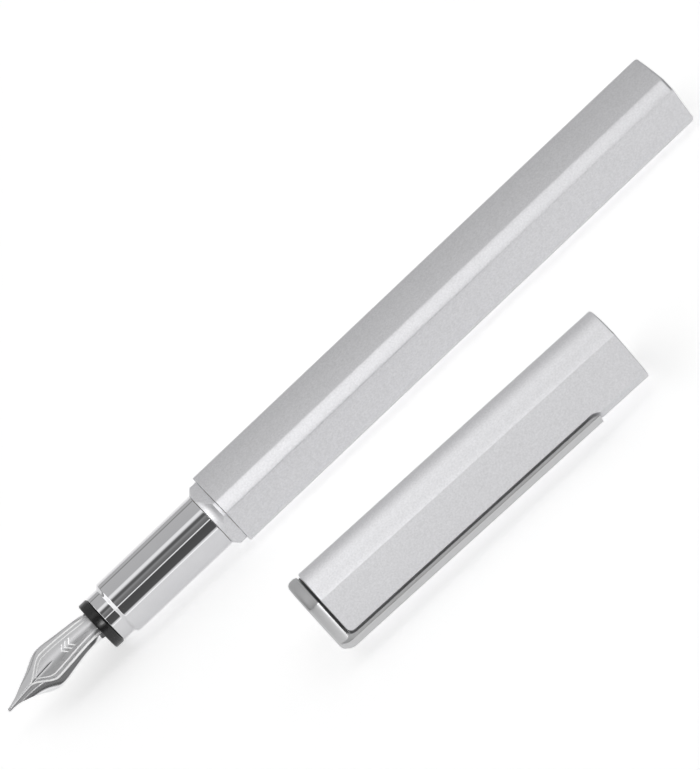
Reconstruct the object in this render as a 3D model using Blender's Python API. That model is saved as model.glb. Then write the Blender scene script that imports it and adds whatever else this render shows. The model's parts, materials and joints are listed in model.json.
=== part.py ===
"""Fountain pen with its cap lying beside it, in metres, +Z up.

The pen lies along X on a flat of its barrel, with the nib toward -X. The origin is the
middle of that flat. The cap lies on the -Y side with its mouth toward +X.
"""

import math

import bmesh
import bpy

MM = 0.001

# Fits
SEAM = 0.05 * MM
RUNNING_FIT = 0.08 * MM

# Barrel and the four-sided outline that it shares with the collar
BARREL_LENGTH = 84.0 * MM
BARREL_FLAT = 4.8 * MM
BARREL_RIDGE = 5.8 * MM
BARREL_EDGE = 0.45 * MM
END_CAP_DEPTH = 3.0 * MM
END_CAP_DOME = 0.2 * MM

# Collar, grip and the threaded tail behind them
COLLAR_LENGTH = 2.0 * MM
COLLAR_FLAT_INSET = 0.44 * MM
COLLAR_RIDGE_INSET = 0.65 * MM
GRIP_LENGTH = 17.5 * MM
GRIP_REAR_RADIUS = 4.36 * MM
GRIP_FRONT_RADIUS = 4.31 * MM
LAND_LENGTH = 2.3 * MM
LAND_RADIUS = 3.8 * MM
LAND_STEP = 0.45 * MM
TAIL_RADIUS = 3.95 * MM
TAIL_LENGTH = 8.0 * MM
SPIGOT_RADIUS = 3.6 * MM
SPIGOT_LENGTH = 8.0 * MM
SEAL_WALL = 0.42 * MM
SEAL_LENGTH = 0.6 * MM

# Seal ring and nib unit
RING_LENGTH = 1.5 * MM
RING_RADIUS = 3.85 * MM
HOUSING_WALL = 0.32 * MM
HOUSING_LENGTH = 12.0 * MM
HOUSING_END = 2.0 * MM
NIB_LENGTH = 16.5 * MM
NIB_TAIL = 5.0 * MM
NIB_RADIUS = 2.6 * MM
NIB_THICKNESS = 0.24 * MM
NIB_SLIT = 0.1 * MM
NIB_SLIT_LENGTH = 9.0 * MM
NIB_TIP_RISE = 0.2 * MM
NIB_HUMP = 0.6 * MM
NIB_ROLL = math.radians(27.0)
FEED_TAIL = 8.0 * MM
FEED_HALF = 1.3 * MM
FEED_SHOULDER = 0.3 * MM

# Converter
NIPPLE_RADIUS = 1.2 * MM
NIPPLE_LENGTH = 5.0 * MM
INK_HOLE = 0.6 * MM
TUBE_RADIUS = 2.9 * MM
TUBE_WALL = 0.4 * MM
TUBE_LENGTH = 36.0 * MM
MOUTH_LENGTH = 8.0 * MM
MOUTH_PLUG = 2.0 * MM
FERRULE_WALL = 0.4 * MM
FERRULE_LENGTH = 22.0 * MM
FERRULE_OVERLAP = 4.0 * MM
KNOB_LENGTH = 10.0 * MM
KNOB_FLUTES = 12
FLUTE_DEPTH = 0.22 * MM
PISTON_LENGTH = 6.0 * MM
PISTON_SEAL_HEIGHT = 0.35 * MM
PISTON_SEAL_WIDTH = 1.1 * MM
PISTON_TRAVEL = 20.0 * MM
ROD_RADIUS = 1.1 * MM

# Cap
CAP_LENGTH = 52.05 * MM
CAP_STEP = 0.1 * MM
CAP_END_WALL = 1.6 * MM
CAP_BORE_ROOM = 0.13 * MM
CAP_EDGE = 0.25 * MM
INNER_CAP_ROOM = 2.0 * MM
INNER_CAP_FLOOR = 1.0 * MM

# Clip and end plate
CLIP_GAP = 0.25 * MM
CLIP_SEAT_DEPTH = 0.5 * MM
CLIP_THICKNESS = 0.6 * MM
CLIP_WIDTH = 2.4 * MM
CLIP_TIP_TO_MOUTH = 8.4 * MM
CLIP_TIP_SLANT = 1.45 * MM
CLIP_STUB = 2.4 * MM
CLIP_ANGLE = math.radians(135.0)
PLATE_THICKNESS = 1.9 * MM
PLATE_ROUND = 0.85 * MM
BEND_RADIUS = 1.8 * MM
SEAT_CORNER = 0.85 * MM
SEAT_RUN_OUT = 2.0 * MM
SEAT_TO_MOUTH = 7.4 * MM
SCREW_RADIUS = 1.0 * MM
SCREW_HEAD_RADIUS = 2.0 * MM
SCREW_HEAD_LENGTH = 1.5 * MM
SCREW_SLOT = 0.5 * MM

# Where the cap lies
CAP_X = -41.13 * MM
CAP_Y = -29.29 * MM
CAP_YAW = math.radians(-2.0)
CAP_ROLL = math.radians(-21.8)

# Steps round a turned piece
FINE = 48
COARSE = 32
ARC_STEPS = 4

# Places along the pen's axis, from the barrel's front face toward the nib
BARREL_FRONT = -BARREL_LENGTH / 2
BARREL_REAR = BARREL_LENGTH / 2
COLLAR_FRONT = BARREL_FRONT - COLLAR_LENGTH
GRIP_STEP = COLLAR_FRONT - GRIP_LENGTH
LAND_FRONT = GRIP_STEP - LAND_LENGTH
RING_FRONT = LAND_FRONT - SEAM - RING_LENGTH
NIB_TIP = RING_FRONT - NIB_LENGTH

# Radii that follow from one another
BORE_RADIUS = TAIL_RADIUS + RUNNING_FIT
HOUSING_BORE = NIB_RADIUS + SEAM
HOUSING_RADIUS = HOUSING_BORE + HOUSING_WALL
TAIL_BORE = TUBE_RADIUS + RUNNING_FIT
TUBE_BORE = TUBE_RADIUS - TUBE_WALL
FERRULE_BORE = TUBE_RADIUS + SEAM
FERRULE_RADIUS = FERRULE_BORE + FERRULE_WALL
KNOB_SHANK = FERRULE_BORE - RUNNING_FIT
CAP_FLAT = BARREL_FLAT + CAP_STEP
CAP_RIDGE = BARREL_RIDGE + CAP_STEP
CAP_BORE = GRIP_REAR_RADIUS + CAP_BORE_ROOM
SEAT_HEIGHT = CAP_RIDGE - CLIP_SEAT_DEPTH
CLIP_INNER = SEAT_HEIGHT + CLIP_GAP
CLIP_OUTER = CLIP_INNER + CLIP_THICKNESS
PLATE_INNER = -CLIP_GAP
PLATE_OUTER = PLATE_INNER - PLATE_THICKNESS

# Places along the converter, from its mouth to its knob
HOUSING_REAR = RING_FRONT + HOUSING_LENGTH
NIPPLE_END = HOUSING_REAR + NIPPLE_LENGTH
MOUTH_FRONT = HOUSING_REAR + 5 * SEAM
TUBE_FRONT = MOUTH_FRONT + MOUTH_LENGTH
TUBE_REAR = TUBE_FRONT + TUBE_LENGTH
FERRULE_FRONT = TUBE_REAR - FERRULE_OVERLAP
FERRULE_REAR = FERRULE_FRONT + FERRULE_LENGTH
SHANK_FRONT = TUBE_REAR + MOUTH_PLUG
KNOB_REAR = FERRULE_REAR + RUNNING_FIT + KNOB_LENGTH
PISTON_REAR = TUBE_REAR - MOUTH_PLUG
PISTON_FRONT = PISTON_REAR - PISTON_LENGTH


def clear_scene():
    """Empties the scene of its objects."""
    for item in list(bpy.data.objects):
        bpy.data.objects.remove(item, do_unlink=True)


def make_material(name, colour, roughness, metallic=0.0):
    """A plain Principled material."""
    material = bpy.data.materials.new(name)
    material.use_nodes = True
    shader = material.node_tree.nodes["Principled BSDF"]
    shader.inputs["Base Color"].default_value = (*colour, 1.0)
    shader.inputs["Roughness"].default_value = roughness
    shader.inputs["Metallic"].default_value = metallic
    return material


def make_axis(name, location, rotation=(0.0, 0.0, 0.0)):
    """An empty on the axis of a sub-assembly."""
    axis = bpy.data.objects.new(name, None)
    axis.empty_display_size = 5 * MM
    axis.location = location
    axis.rotation_euler = rotation
    bpy.context.scene.collection.objects.link(axis)
    return axis


def make_object(name, shape, material, parent):
    """Turns a bmesh into a named object on a sub-assembly's axis."""
    bmesh.ops.recalc_face_normals(shape, faces=shape.faces)
    mesh = bpy.data.meshes.new(name)
    shape.to_mesh(mesh)
    shape.free()
    mesh.shade_smooth()
    mesh.set_sharp_from_angle(angle=math.radians(25.0))
    if material is not None:
        mesh.materials.append(material)
    item = bpy.data.objects.new(name, mesh)
    item.parent = parent
    bpy.context.scene.collection.objects.link(item)
    return item


def make_tool(name, shape, parent):
    """A hidden body for a Boolean."""
    tool = make_object(name, shape, None, parent)
    tool.hide_render = True
    tool.display_type = "WIRE"
    return tool


def combine(item, tool, operation):
    """Adds an exact Boolean with a tool."""
    step = item.modifiers.new(tool.name, "BOOLEAN")
    step.operation = operation
    step.solver = "EXACT"
    step.object = tool


def turned(profile, steps=COARSE, closed=True):
    """A body of revolution about X from (x, radius) points."""
    shape = bmesh.new()
    points = [shape.verts.new((x, 0.0, radius)) for x, radius in profile]
    lines = [shape.edges.new(pair) for pair in zip(points, points[1:])]
    if closed:
        lines.append(shape.edges.new((points[-1], points[0])))
    bmesh.ops.spin(
        shape,
        geom=points + lines,
        cent=(0.0, 0.0, 0.0),
        axis=(1.0, 0.0, 0.0),
        angle=2 * math.pi,
        steps=steps,
        use_merge=True,
    )
    bmesh.ops.remove_doubles(shape, verts=shape.verts, dist=1e-7)
    return shape


def extruded(outline, start, end):
    """A prism along X from (y, z) points."""
    shape = bmesh.new()
    points = [shape.verts.new((start, y, z)) for y, z in outline]
    face = shape.faces.new(points)
    grown = bmesh.ops.extrude_face_region(shape, geom=[face])
    moved = [part for part in grown["geom"] if isinstance(part, bmesh.types.BMVert)]
    bmesh.ops.translate(shape, verts=moved, vec=(end - start, 0.0, 0.0))
    return shape


def strip(profile, width):
    """A body of constant width along Y from (x, z) points."""
    shape = bmesh.new()
    points = [shape.verts.new((x, -width / 2, z)) for x, z in profile]
    face = shape.faces.new(points)
    grown = bmesh.ops.extrude_face_region(shape, geom=[face])
    moved = [part for part in grown["geom"] if isinstance(part, bmesh.types.BMVert)]
    bmesh.ops.translate(shape, verts=moved, vec=(0.0, width, 0.0))
    return shape


def round_rim(shape, place, amount, segments):
    """Rounds the edges of the end face that lies at one x."""
    near = amount / 100
    rim = [
        edge
        for edge in shape.edges
        if all(abs(point.co.x - place) < near for point in edge.verts)
    ]
    bmesh.ops.bevel(
        shape,
        geom=rim,
        offset=amount,
        offset_type="OFFSET",
        segments=segments,
        profile=0.5,
        affect="EDGES",
        clamp_overlap=False,
        material=-1,
    )


def arc(centre, radius, first, last, steps):
    """Points on an arc, by angles in degrees."""
    found = []
    for step in range(steps + 1):
        angle = math.radians(first + (last - first) * step / steps)
        across = centre[0] + radius * math.cos(angle)
        found.append((across, centre[1] + radius * math.sin(angle)))
    return found


def four_sided(flat, ridge):
    """Outline of four flats whose corners lie on a circle."""
    half = 45.0 - math.degrees(math.acos(flat / ridge))
    outline = []
    for side in range(4):
        middle = 45.0 + 90.0 * side
        outline += arc((0.0, 0.0), ridge, middle - half, middle + half, ARC_STEPS)
    return outline


def clip_sided(flat, ridge):
    """Outline of a circle with two flats beside the ridge that carries the clip."""
    half = 45.0 - math.degrees(math.acos(flat / ridge))
    middle = math.degrees(CLIP_ANGLE) + 90.0
    outline = arc((0.0, 0.0), ridge, middle - half, middle + half, ARC_STEPS)
    first, last = middle + 90.0 - half, middle + 270.0 + half
    outline += arc((0.0, 0.0), ridge, first, last, FINE // 2)
    return outline


def lowest_point(outline, roll):
    """How far an outline reaches below its axis once it is rolled about X."""
    reach = [y * math.sin(roll) + z * math.cos(roll) for y, z in outline]
    return -min(reach)


def blend(stations, place):
    """Straight-line values between (place, value) pairs."""
    for (before, low), (after, high) in zip(stations, stations[1:]):
        if place <= after:
            share = (place - before) / (after - before)
            return low + (high - low) * max(share, 0.0)
    return stations[-1][1]


def build_barrel(axis, aluminium, polished):
    outline = four_sided(BARREL_FLAT, BARREL_RIDGE)
    shape = extruded(outline, BARREL_FRONT, BARREL_REAR)
    round_rim(shape, BARREL_REAR, BARREL_EDGE, 2)
    barrel = make_object("barrel", shape, aluminium, axis)
    pocket = TAIL_RADIUS + SEAM + SEAL_WALL + SEAM
    pocket_end = BARREL_FRONT + SEAL_LENGTH + 3 * SEAM
    beyond = BARREL_LENGTH / 50
    bore = [
        (BARREL_FRONT - beyond, 0.0),
        (BARREL_FRONT - beyond, pocket),
        (pocket_end, pocket),
        (pocket_end, BORE_RADIUS),
        (BARREL_REAR + beyond, BORE_RADIUS),
        (BARREL_REAR + beyond, 0.0),
    ]
    tool = make_tool("barrel_bore_tool", turned(bore, FINE, closed=False), axis)
    combine(barrel, tool, "DIFFERENCE")
    plug = BORE_RADIUS - SEAM
    end = [
        (BARREL_REAR - END_CAP_DEPTH, 0.0),
        (BARREL_REAR - END_CAP_DEPTH, plug),
        (BARREL_REAR - END_CAP_DOME, plug),
        (BARREL_REAR + END_CAP_DOME / 2, plug * 0.94),
        (BARREL_REAR + END_CAP_DOME, plug * 0.6),
        (BARREL_REAR + END_CAP_DOME, 0.0),
    ]
    make_object("barrel_end_cap", turned(end, FINE, closed=False), polished, axis)


def build_barrel_seal(axis, rubber):
    inner = TAIL_RADIUS + SEAM
    front = BARREL_FRONT + SEAM
    seal = [
        (front, inner),
        (front, inner + SEAL_WALL),
        (front + SEAL_LENGTH, inner + SEAL_WALL),
        (front + SEAL_LENGTH, inner),
    ]
    make_object("barrel_seal", turned(seal, FINE), rubber, axis)


def build_collar(axis, aluminium):
    flat = BARREL_FLAT - COLLAR_FLAT_INSET
    ridge = BARREL_RIDGE - COLLAR_RIDGE_INSET
    rear = BARREL_FRONT - SEAM
    outline = four_sided(flat, ridge)
    shape = extruded(outline, COLLAR_FRONT, rear)
    collar = make_object("collar_ring", shape, aluminium, axis)
    hole = SPIGOT_RADIUS + SEAM
    beyond = COLLAR_LENGTH / 4
    cone = [
        (COLLAR_FRONT - beyond, hole),
        (COLLAR_FRONT - beyond, flat - beyond),
        (rear + beyond, flat + COLLAR_LENGTH + beyond),
        (rear + beyond, hole),
    ]
    tool = make_tool("collar_cone_tool", turned(cone, FINE), axis)
    combine(collar, tool, "INTERSECT")


def build_grip(axis, chrome, brass):
    rear = COLLAR_FRONT - SEAM
    front_bore = HOUSING_RADIUS + SEAM
    rear_bore = SPIGOT_RADIUS + SEAM
    shoulder = COLLAR_FRONT - SPIGOT_LENGTH - 4 * SEAM
    grip = [
        (LAND_FRONT, front_bore),
        (LAND_FRONT, LAND_RADIUS),
        (GRIP_STEP - LAND_STEP, LAND_RADIUS),
        (GRIP_STEP, GRIP_FRONT_RADIUS),
        (rear, GRIP_REAR_RADIUS),
        (rear, rear_bore),
        (shoulder, rear_bore),
        (shoulder, front_bore),
    ]
    make_object("grip_section", turned(grip, FINE), chrome, axis)
    tail_rear = BARREL_FRONT + TAIL_LENGTH
    chamfer = TAIL_LENGTH / 20
    tail = [
        (COLLAR_FRONT - SPIGOT_LENGTH, TAIL_BORE),
        (COLLAR_FRONT - SPIGOT_LENGTH, SPIGOT_RADIUS),
        (BARREL_FRONT, SPIGOT_RADIUS),
        (BARREL_FRONT, TAIL_RADIUS),
        (tail_rear - chamfer, TAIL_RADIUS),
        (tail_rear, TAIL_RADIUS - chamfer),
        (tail_rear, TAIL_BORE),
    ]
    make_object("thread_tail", turned(tail, FINE), brass, axis)


def build_ring(axis, rubber):
    inner = HOUSING_RADIUS + SEAM
    rear = RING_FRONT + RING_LENGTH
    corner = RING_LENGTH / 3
    ring = [(RING_FRONT, inner), (rear, inner)]
    ring += arc((rear - corner, RING_RADIUS - corner), corner, 0.0, 90.0, 3)
    ring += arc((RING_FRONT + corner, RING_RADIUS - corner), corner, 90.0, 180.0, 3)
    make_object("cap_seal_ring", turned(ring, FINE), rubber, axis)


def build_housing(axis, plastic):
    wall = HOUSING_REAR - HOUSING_END
    housing = [
        (RING_FRONT, HOUSING_BORE),
        (RING_FRONT, HOUSING_RADIUS),
        (HOUSING_REAR, HOUSING_RADIUS),
        (HOUSING_REAR, NIPPLE_RADIUS),
        (NIPPLE_END, NIPPLE_RADIUS),
        (NIPPLE_END, INK_HOLE),
        (wall, INK_HOLE),
        (wall, HOUSING_BORE),
    ]
    make_object("nib_housing", turned(housing), plastic, axis)


def nib_section(place):
    """Arc radius, half angle and height of the arc's centre at a distance from the tip."""
    share = place / NIB_LENGTH
    bulge = [(0.0, 0.6), (0.22, 0.85), (0.35, 1.25), (0.5, 2.1), (0.68, 1.75), (0.88, 1.5)]
    bulge.append((1.0, 1.0))
    radius = NIB_RADIUS * blend(bulge, share)
    width = [
        (0.0, 0.09),
        (0.06, 0.14),
        (0.12, 0.23),
        (0.21, 0.47),
        (0.3, 0.73),
        (0.37, 0.99),
        (0.44, 1.18),
        (0.52, 1.22),
        (0.64, 1.12),
        (0.82, 0.95),
        (1.0, 0.88),
    ]
    half = NIB_RADIUS * blend(width, share)
    rise = math.sin(math.pi / 2 * min(share, 1.0))
    hump = NIB_HUMP * math.sin(math.pi * min(share, 1.0))
    top = NIB_TIP_RISE + (NIB_RADIUS - NIB_TIP_RISE) * rise + hump
    return radius, math.asin(half / radius), top - radius


def build_nib(axis, steel):
    columns = 5
    shares = (0.0, 0.03, 0.08, 0.14, 0.21, 0.3, 0.37, 0.44, 0.49)
    front = [NIB_SLIT_LENGTH * share / shares[-1] for share in shares]
    back = [NIB_LENGTH * share for share in (0.64, 0.73, 0.82, 0.91, 1.0)]
    stations = front + back + [NIB_LENGTH + NIB_TAIL]
    shape = bmesh.new()
    grid = {}
    for row, place in enumerate(stations):
        radius, half, centre = nib_section(place)
        gap = NIB_SLIT / 2 if place < NIB_SLIT_LENGTH else 0.0
        for side in (-1, 1):
            for column in range(columns + 1):
                first = math.asin(gap / radius)
                angle = side * (first + (half - first) * column / columns)
                for layer, size in enumerate((radius, radius - NIB_THICKNESS)):
                    across = size * math.sin(angle)
                    height = centre + size * math.cos(angle)
                    point = shape.verts.new((NIB_TIP + place, across, height))
                    grid[row, side, column, layer] = point
    last = len(stations) - 1
    for side in (-1, 1):
        for row in range(last):
            for column in range(columns):
                for layer in (0, 1):
                    corners = ((row, column), (row + 1, column))
                    corners += ((row + 1, column + 1), (row, column + 1))
                    ring = [grid[r, side, c, layer] for r, c in corners]
                    shape.faces.new(ring)
            walls = [columns]
            if stations[row] < NIB_SLIT_LENGTH:
                walls.append(0)
            for column in walls:
                corners = ((row, 0), (row + 1, 0), (row + 1, 1), (row, 1))
                shape.faces.new([grid[r, side, column, k] for r, k in corners])
        for row in (0, last):
            for column in range(columns):
                corners = ((column, 0), (column + 1, 0), (column + 1, 1), (column, 1))
                shape.faces.new([grid[row, side, c, k] for c, k in corners])
    bmesh.ops.remove_doubles(shape, verts=shape.verts, dist=1e-7)
    nib = make_object("nib", shape, steel, axis)
    nib.rotation_euler = (NIB_ROLL, 0.0, 0.0)


def feed_outline(place, half, depth):
    """Section of the feed under the nib, as (y, z) points."""
    radius, _, centre = nib_section(place)
    size = radius - NIB_THICKNESS - SEAM
    angle = math.asin(min(half / size, 1.0))
    top = []
    for step in range(9):
        turn = angle * (1 - step / 4)
        top.append((-size * math.sin(turn), centre + size * math.cos(turn)))
    edge = top[-1]
    belly = []
    for step in range(1, 10):
        turn = math.pi * step / 10
        drop = (edge[1] + depth) * math.sin(turn)
        belly.append((edge[0] * math.cos(turn), edge[1] - drop))
    return top + belly


def build_feed(axis, plastic):
    body = NIB_RADIUS - NIB_THICKNESS - SEAM
    deep = [(0.25, -0.05), (0.4, 0.2), (0.6, 0.42), (1.0, 0.48)]
    wide = [(0.25, 0.35), (0.4, 0.75), (0.6, 1.0)]
    slots = 6
    pitch = NIB_LENGTH * 0.055
    first = NIB_LENGTH * 0.58
    places = [(NIB_LENGTH * share, 0.0) for share in (0.27, 0.35, 0.45, 0.54)]
    for slot in range(slots):
        start = first + pitch * slot
        wall = pitch * 0.04
        cut = body * 0.22
        places += [(start, 0.0), (start + wall, cut)]
        places += [(start + pitch * 0.46, cut), (start + pitch * 0.5, 0.0)]
    places.append((NIB_LENGTH, 0.0))
    rows = []
    for place, cut in places:
        share = place / NIB_LENGTH
        rows.append((place, FEED_HALF * blend(wide, share), body * blend(deep, share) - cut))
    rows += [(NIB_LENGTH + FEED_SHOULDER, body, body), (NIB_LENGTH + FEED_TAIL, body, body)]
    shape = bmesh.new()
    loops = []
    for place, half, depth in rows:
        outline = feed_outline(place, half, depth)
        loops.append([shape.verts.new((NIB_TIP + place, y, z)) for y, z in outline])
    for before, after in zip(loops, loops[1:]):
        count = len(before)
        for index in range(count):
            other = (index + 1) % count
            shape.faces.new((before[index], before[other], after[other], after[index]))
    shape.faces.new(loops[0])
    shape.faces.new(loops[-1])
    feed = make_object("feed", shape, plastic, axis)
    feed.rotation_euler = (NIB_ROLL, 0.0, 0.0)


def build_converter(axis, plastic, clear, polished):
    socket = NIPPLE_RADIUS + SEAM
    stem = TUBE_BORE - SEAM
    socket_end = NIPPLE_END + 4 * SEAM
    mouth = [
        (MOUTH_FRONT, socket),
        (MOUTH_FRONT, stem),
        (TUBE_FRONT - MOUTH_PLUG / 2, stem),
        (TUBE_FRONT - MOUTH_PLUG / 2, TUBE_RADIUS),
        (TUBE_FRONT - SEAM, TUBE_RADIUS),
        (TUBE_FRONT - SEAM, stem),
        (TUBE_FRONT + MOUTH_PLUG, stem),
        (TUBE_FRONT + MOUTH_PLUG, INK_HOLE),
        (socket_end, INK_HOLE),
        (socket_end, socket),
    ]
    make_object("converter_mouth", turned(mouth), plastic, axis)
    tube = [
        (TUBE_FRONT, TUBE_BORE),
        (TUBE_FRONT, TUBE_RADIUS),
        (TUBE_REAR, TUBE_RADIUS),
        (TUBE_REAR, TUBE_BORE),
    ]
    make_object("converter_tube", turned(tube), clear, axis)
    lip = FERRULE_WALL / 2
    ferrule = [
        (FERRULE_FRONT, FERRULE_BORE),
        (FERRULE_FRONT, FERRULE_RADIUS - lip),
        (FERRULE_FRONT + lip, FERRULE_RADIUS),
        (FERRULE_REAR, FERRULE_RADIUS),
        (FERRULE_REAR, FERRULE_BORE),
    ]
    make_object("converter_ferrule", turned(ferrule), polished, axis)


def build_knob(axis, plastic):
    head_front = FERRULE_REAR + RUNNING_FIT
    outline = []
    for step in range(KNOB_FLUTES * 4):
        angle = 2 * math.pi * step / (KNOB_FLUTES * 4)
        wave = (1 - math.cos(angle * KNOB_FLUTES)) / 2
        radius = FERRULE_RADIUS - FLUTE_DEPTH * wave
        outline.append((radius * math.cos(angle), radius * math.sin(angle)))
    shape = extruded(outline, head_front, KNOB_REAR)
    knob = make_object("converter_knob", shape, plastic, axis)
    inside = head_front + KNOB_LENGTH / 4
    shank = [
        (SHANK_FRONT, 0.0),
        (SHANK_FRONT, KNOB_SHANK),
        (inside, KNOB_SHANK),
        (inside, 0.0),
    ]
    shank_tool = make_tool("knob_shank_tool", turned(shank, closed=False), axis)
    combine(knob, shank_tool, "UNION")
    hole = ROD_RADIUS + RUNNING_FIT
    hole_end = KNOB_REAR - KNOB_LENGTH / 5
    hollow = [
        (SHANK_FRONT - MOUTH_PLUG, 0.0),
        (SHANK_FRONT - MOUTH_PLUG, hole),
        (hole_end, hole),
        (hole_end, 0.0),
    ]
    hollow_tool = make_tool("knob_hollow_tool", turned(hollow, 24, closed=False), axis)
    combine(knob, hollow_tool, "DIFFERENCE")


def build_piston(axis, plastic, rubber, polished):
    core = TUBE_BORE - RUNNING_FIT - PISTON_SEAL_HEIGHT
    neck = core - PISTON_SEAL_HEIGHT
    ends = PISTON_LENGTH / 8
    grooves = (PISTON_FRONT + ends, PISTON_REAR - ends - PISTON_SEAL_WIDTH)
    head = [(PISTON_FRONT, 0.0), (PISTON_FRONT, core)]
    for groove in grooves:
        head += [(groove, core), (groove, neck)]
        head += [(groove + PISTON_SEAL_WIDTH, neck), (groove + PISTON_SEAL_WIDTH, core)]
    head += [(PISTON_REAR, core), (PISTON_REAR, 0.0)]
    make_object("piston_head", turned(head, closed=False), plastic, axis)
    lip = TUBE_BORE - RUNNING_FIT
    for name, groove in zip(("piston_seal_front", "piston_seal_rear"), grooves):
        front = groove + SEAM
        rear = groove + PISTON_SEAL_WIDTH - SEAM
        seal = [
            (front, neck + SEAM),
            (front, core),
            ((front + rear) / 2, lip),
            (rear, core),
            (rear, neck + SEAM),
        ]
        make_object(name, turned(seal), rubber, axis)
    rod_front = PISTON_REAR + SEAM
    rod_rear = SHANK_FRONT + PISTON_TRAVEL + MOUTH_PLUG
    rod = [
        (rod_front, 0.0),
        (rod_front, ROD_RADIUS),
        (rod_rear, ROD_RADIUS),
        (rod_rear, 0.0),
    ]
    make_object("piston_rod", turned(rod, 24, closed=False), polished, axis)


def build_cap_shell(axis, aluminium):
    shape = extruded(clip_sided(CAP_FLAT, CAP_RIDGE), 0.0, CAP_LENGTH)
    round_rim(shape, CAP_LENGTH, CAP_EDGE, 2)
    round_rim(shape, 0.0, CAP_EDGE, 2)
    shell = make_object("cap_shell", shape, aluminium, axis)
    pocket_depth = COLLAR_LENGTH + SEAM
    pocket_front = CAP_LENGTH - pocket_depth
    beyond = CAP_LENGTH / 50
    hole = SCREW_RADIUS + SEAM
    bore = [
        (-beyond, 0.0),
        (-beyond, hole),
        (CAP_END_WALL, hole),
        (CAP_END_WALL, CAP_BORE),
        (pocket_front + beyond, CAP_BORE),
        (pocket_front + beyond, 0.0),
    ]
    bore_tool = make_tool("cap_bore_tool", turned(bore, FINE, closed=False), axis)
    combine(shell, bore_tool, "DIFFERENCE")
    flat = BARREL_FLAT - COLLAR_FLAT_INSET + RUNNING_FIT
    ridge = BARREL_RIDGE - COLLAR_RIDGE_INSET + RUNNING_FIT
    pocket = extruded(four_sided(flat, ridge), pocket_front, CAP_LENGTH + beyond)
    combine(shell, make_tool("cap_pocket_tool", pocket, axis), "DIFFERENCE")
    seat_end = CAP_LENGTH - SEAT_TO_MOUTH
    seat_floor = seat_end - SEAT_RUN_OUT
    above = CAP_RIDGE * 1.4
    corner = (SEAT_CORNER, SEAT_HEIGHT - SEAT_CORNER)
    seat = [(-beyond, above), (-beyond, corner[1])]
    seat += arc(corner, SEAT_CORNER, 180.0, 90.0, 5)
    for step in range(9):
        turn = math.pi * step / 8
        rise = CLIP_SEAT_DEPTH * 1.1 * (1 - math.cos(turn)) / 2
        seat.append((seat_floor + SEAT_RUN_OUT * step / 8, SEAT_HEIGHT + rise))
    seat.append((seat_end, above))
    seat_tool = make_tool("clip_seat_tool", strip(seat, CAP_FLAT * 1.4), axis)
    seat_tool.rotation_euler = (CLIP_ANGLE, 0.0, 0.0)
    combine(shell, seat_tool, "DIFFERENCE")


def build_inner_cap(axis, plastic):
    front = CAP_LENGTH + GRIP_STEP - LAND_STEP - BARREL_FRONT - SEAM
    floor = CAP_LENGTH + NIB_TIP - BARREL_FRONT - INNER_CAP_ROOM
    outer = CAP_BORE - SEAM
    inner = RING_RADIUS + SEAM
    cup = [
        (floor - INNER_CAP_FLOOR, 0.0),
        (floor - INNER_CAP_FLOOR, outer),
        (front, outer),
        (front, inner),
        (floor, inner),
        (floor, 0.0),
    ]
    make_object("inner_cap", turned(cup, FINE, closed=False), plastic, axis)


def build_clip(axis, polished, plastic, brass):
    shape = extruded(clip_sided(CAP_FLAT, CAP_RIDGE), PLATE_OUTER, PLATE_INNER)
    round_rim(shape, PLATE_OUTER, PLATE_ROUND, 4)
    plate = make_object("cap_end_plate", shape, polished, axis)
    bend = (PLATE_OUTER + BEND_RADIUS, CLIP_OUTER - BEND_RADIUS)
    inner = (SEAT_CORNER, SEAT_HEIGHT - SEAT_CORNER)
    low = CAP_FLAT * 0.6
    fold = [(PLATE_OUTER + PLATE_ROUND, low), (PLATE_OUTER + PLATE_ROUND, inner[1] - low / 4)]
    fold += arc(bend, BEND_RADIUS, 180.0, 90.0, 6)
    fold += [(CLIP_STUB, CLIP_OUTER), (CLIP_STUB, CLIP_INNER)]
    fold += arc(inner, SEAT_CORNER + CLIP_GAP, 90.0, 180.0, 6)
    fold.append((PLATE_INNER, low))
    fold_tool = make_tool("clip_fold_tool", strip(fold, CLIP_WIDTH), axis)
    fold_tool.rotation_euler = (CLIP_ANGLE, 0.0, 0.0)
    combine(plate, fold_tool, "UNION")
    depth = PLATE_THICKNESS * 0.6
    hole = SCREW_RADIUS + SEAM
    blind = [
        (PLATE_INNER - depth, 0.0),
        (PLATE_INNER - depth, hole),
        (0.0, hole),
        (0.0, 0.0),
    ]
    hole_tool = make_tool("plate_hole_tool", turned(blind, 24, closed=False), axis)
    combine(plate, hole_tool, "DIFFERENCE")
    build_screw(axis, brass, PLATE_INNER - depth + SEAM)
    spacer = [
        (PLATE_INNER + SEAM, hole),
        (PLATE_INNER + SEAM, CAP_FLAT * 0.8),
        (-SEAM, CAP_FLAT * 0.8),
        (-SEAM, hole),
    ]
    make_object("clip_spacer", turned(spacer), plastic, axis)


def build_screw(axis, brass, start):
    under_head = CAP_END_WALL + SEAM
    top = under_head + SCREW_HEAD_LENGTH
    screw = [
        (start, 0.0),
        (start, SCREW_RADIUS),
        (under_head, SCREW_RADIUS),
        (under_head, SCREW_HEAD_RADIUS),
        (top, SCREW_HEAD_RADIUS),
        (top, 0.0),
    ]
    item = make_object("clip_screw", turned(screw, 24, closed=False), brass, axis)
    low = top - SCREW_HEAD_LENGTH / 2
    half = SCREW_SLOT / 2
    side = SCREW_HEAD_RADIUS * 1.5
    outline = [(-side, -half), (side, -half), (side, half), (-side, half)]
    slot_tool = make_tool("screw_slot_tool", extruded(outline, low, top * 1.5), axis)
    combine(item, slot_tool, "DIFFERENCE")


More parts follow.
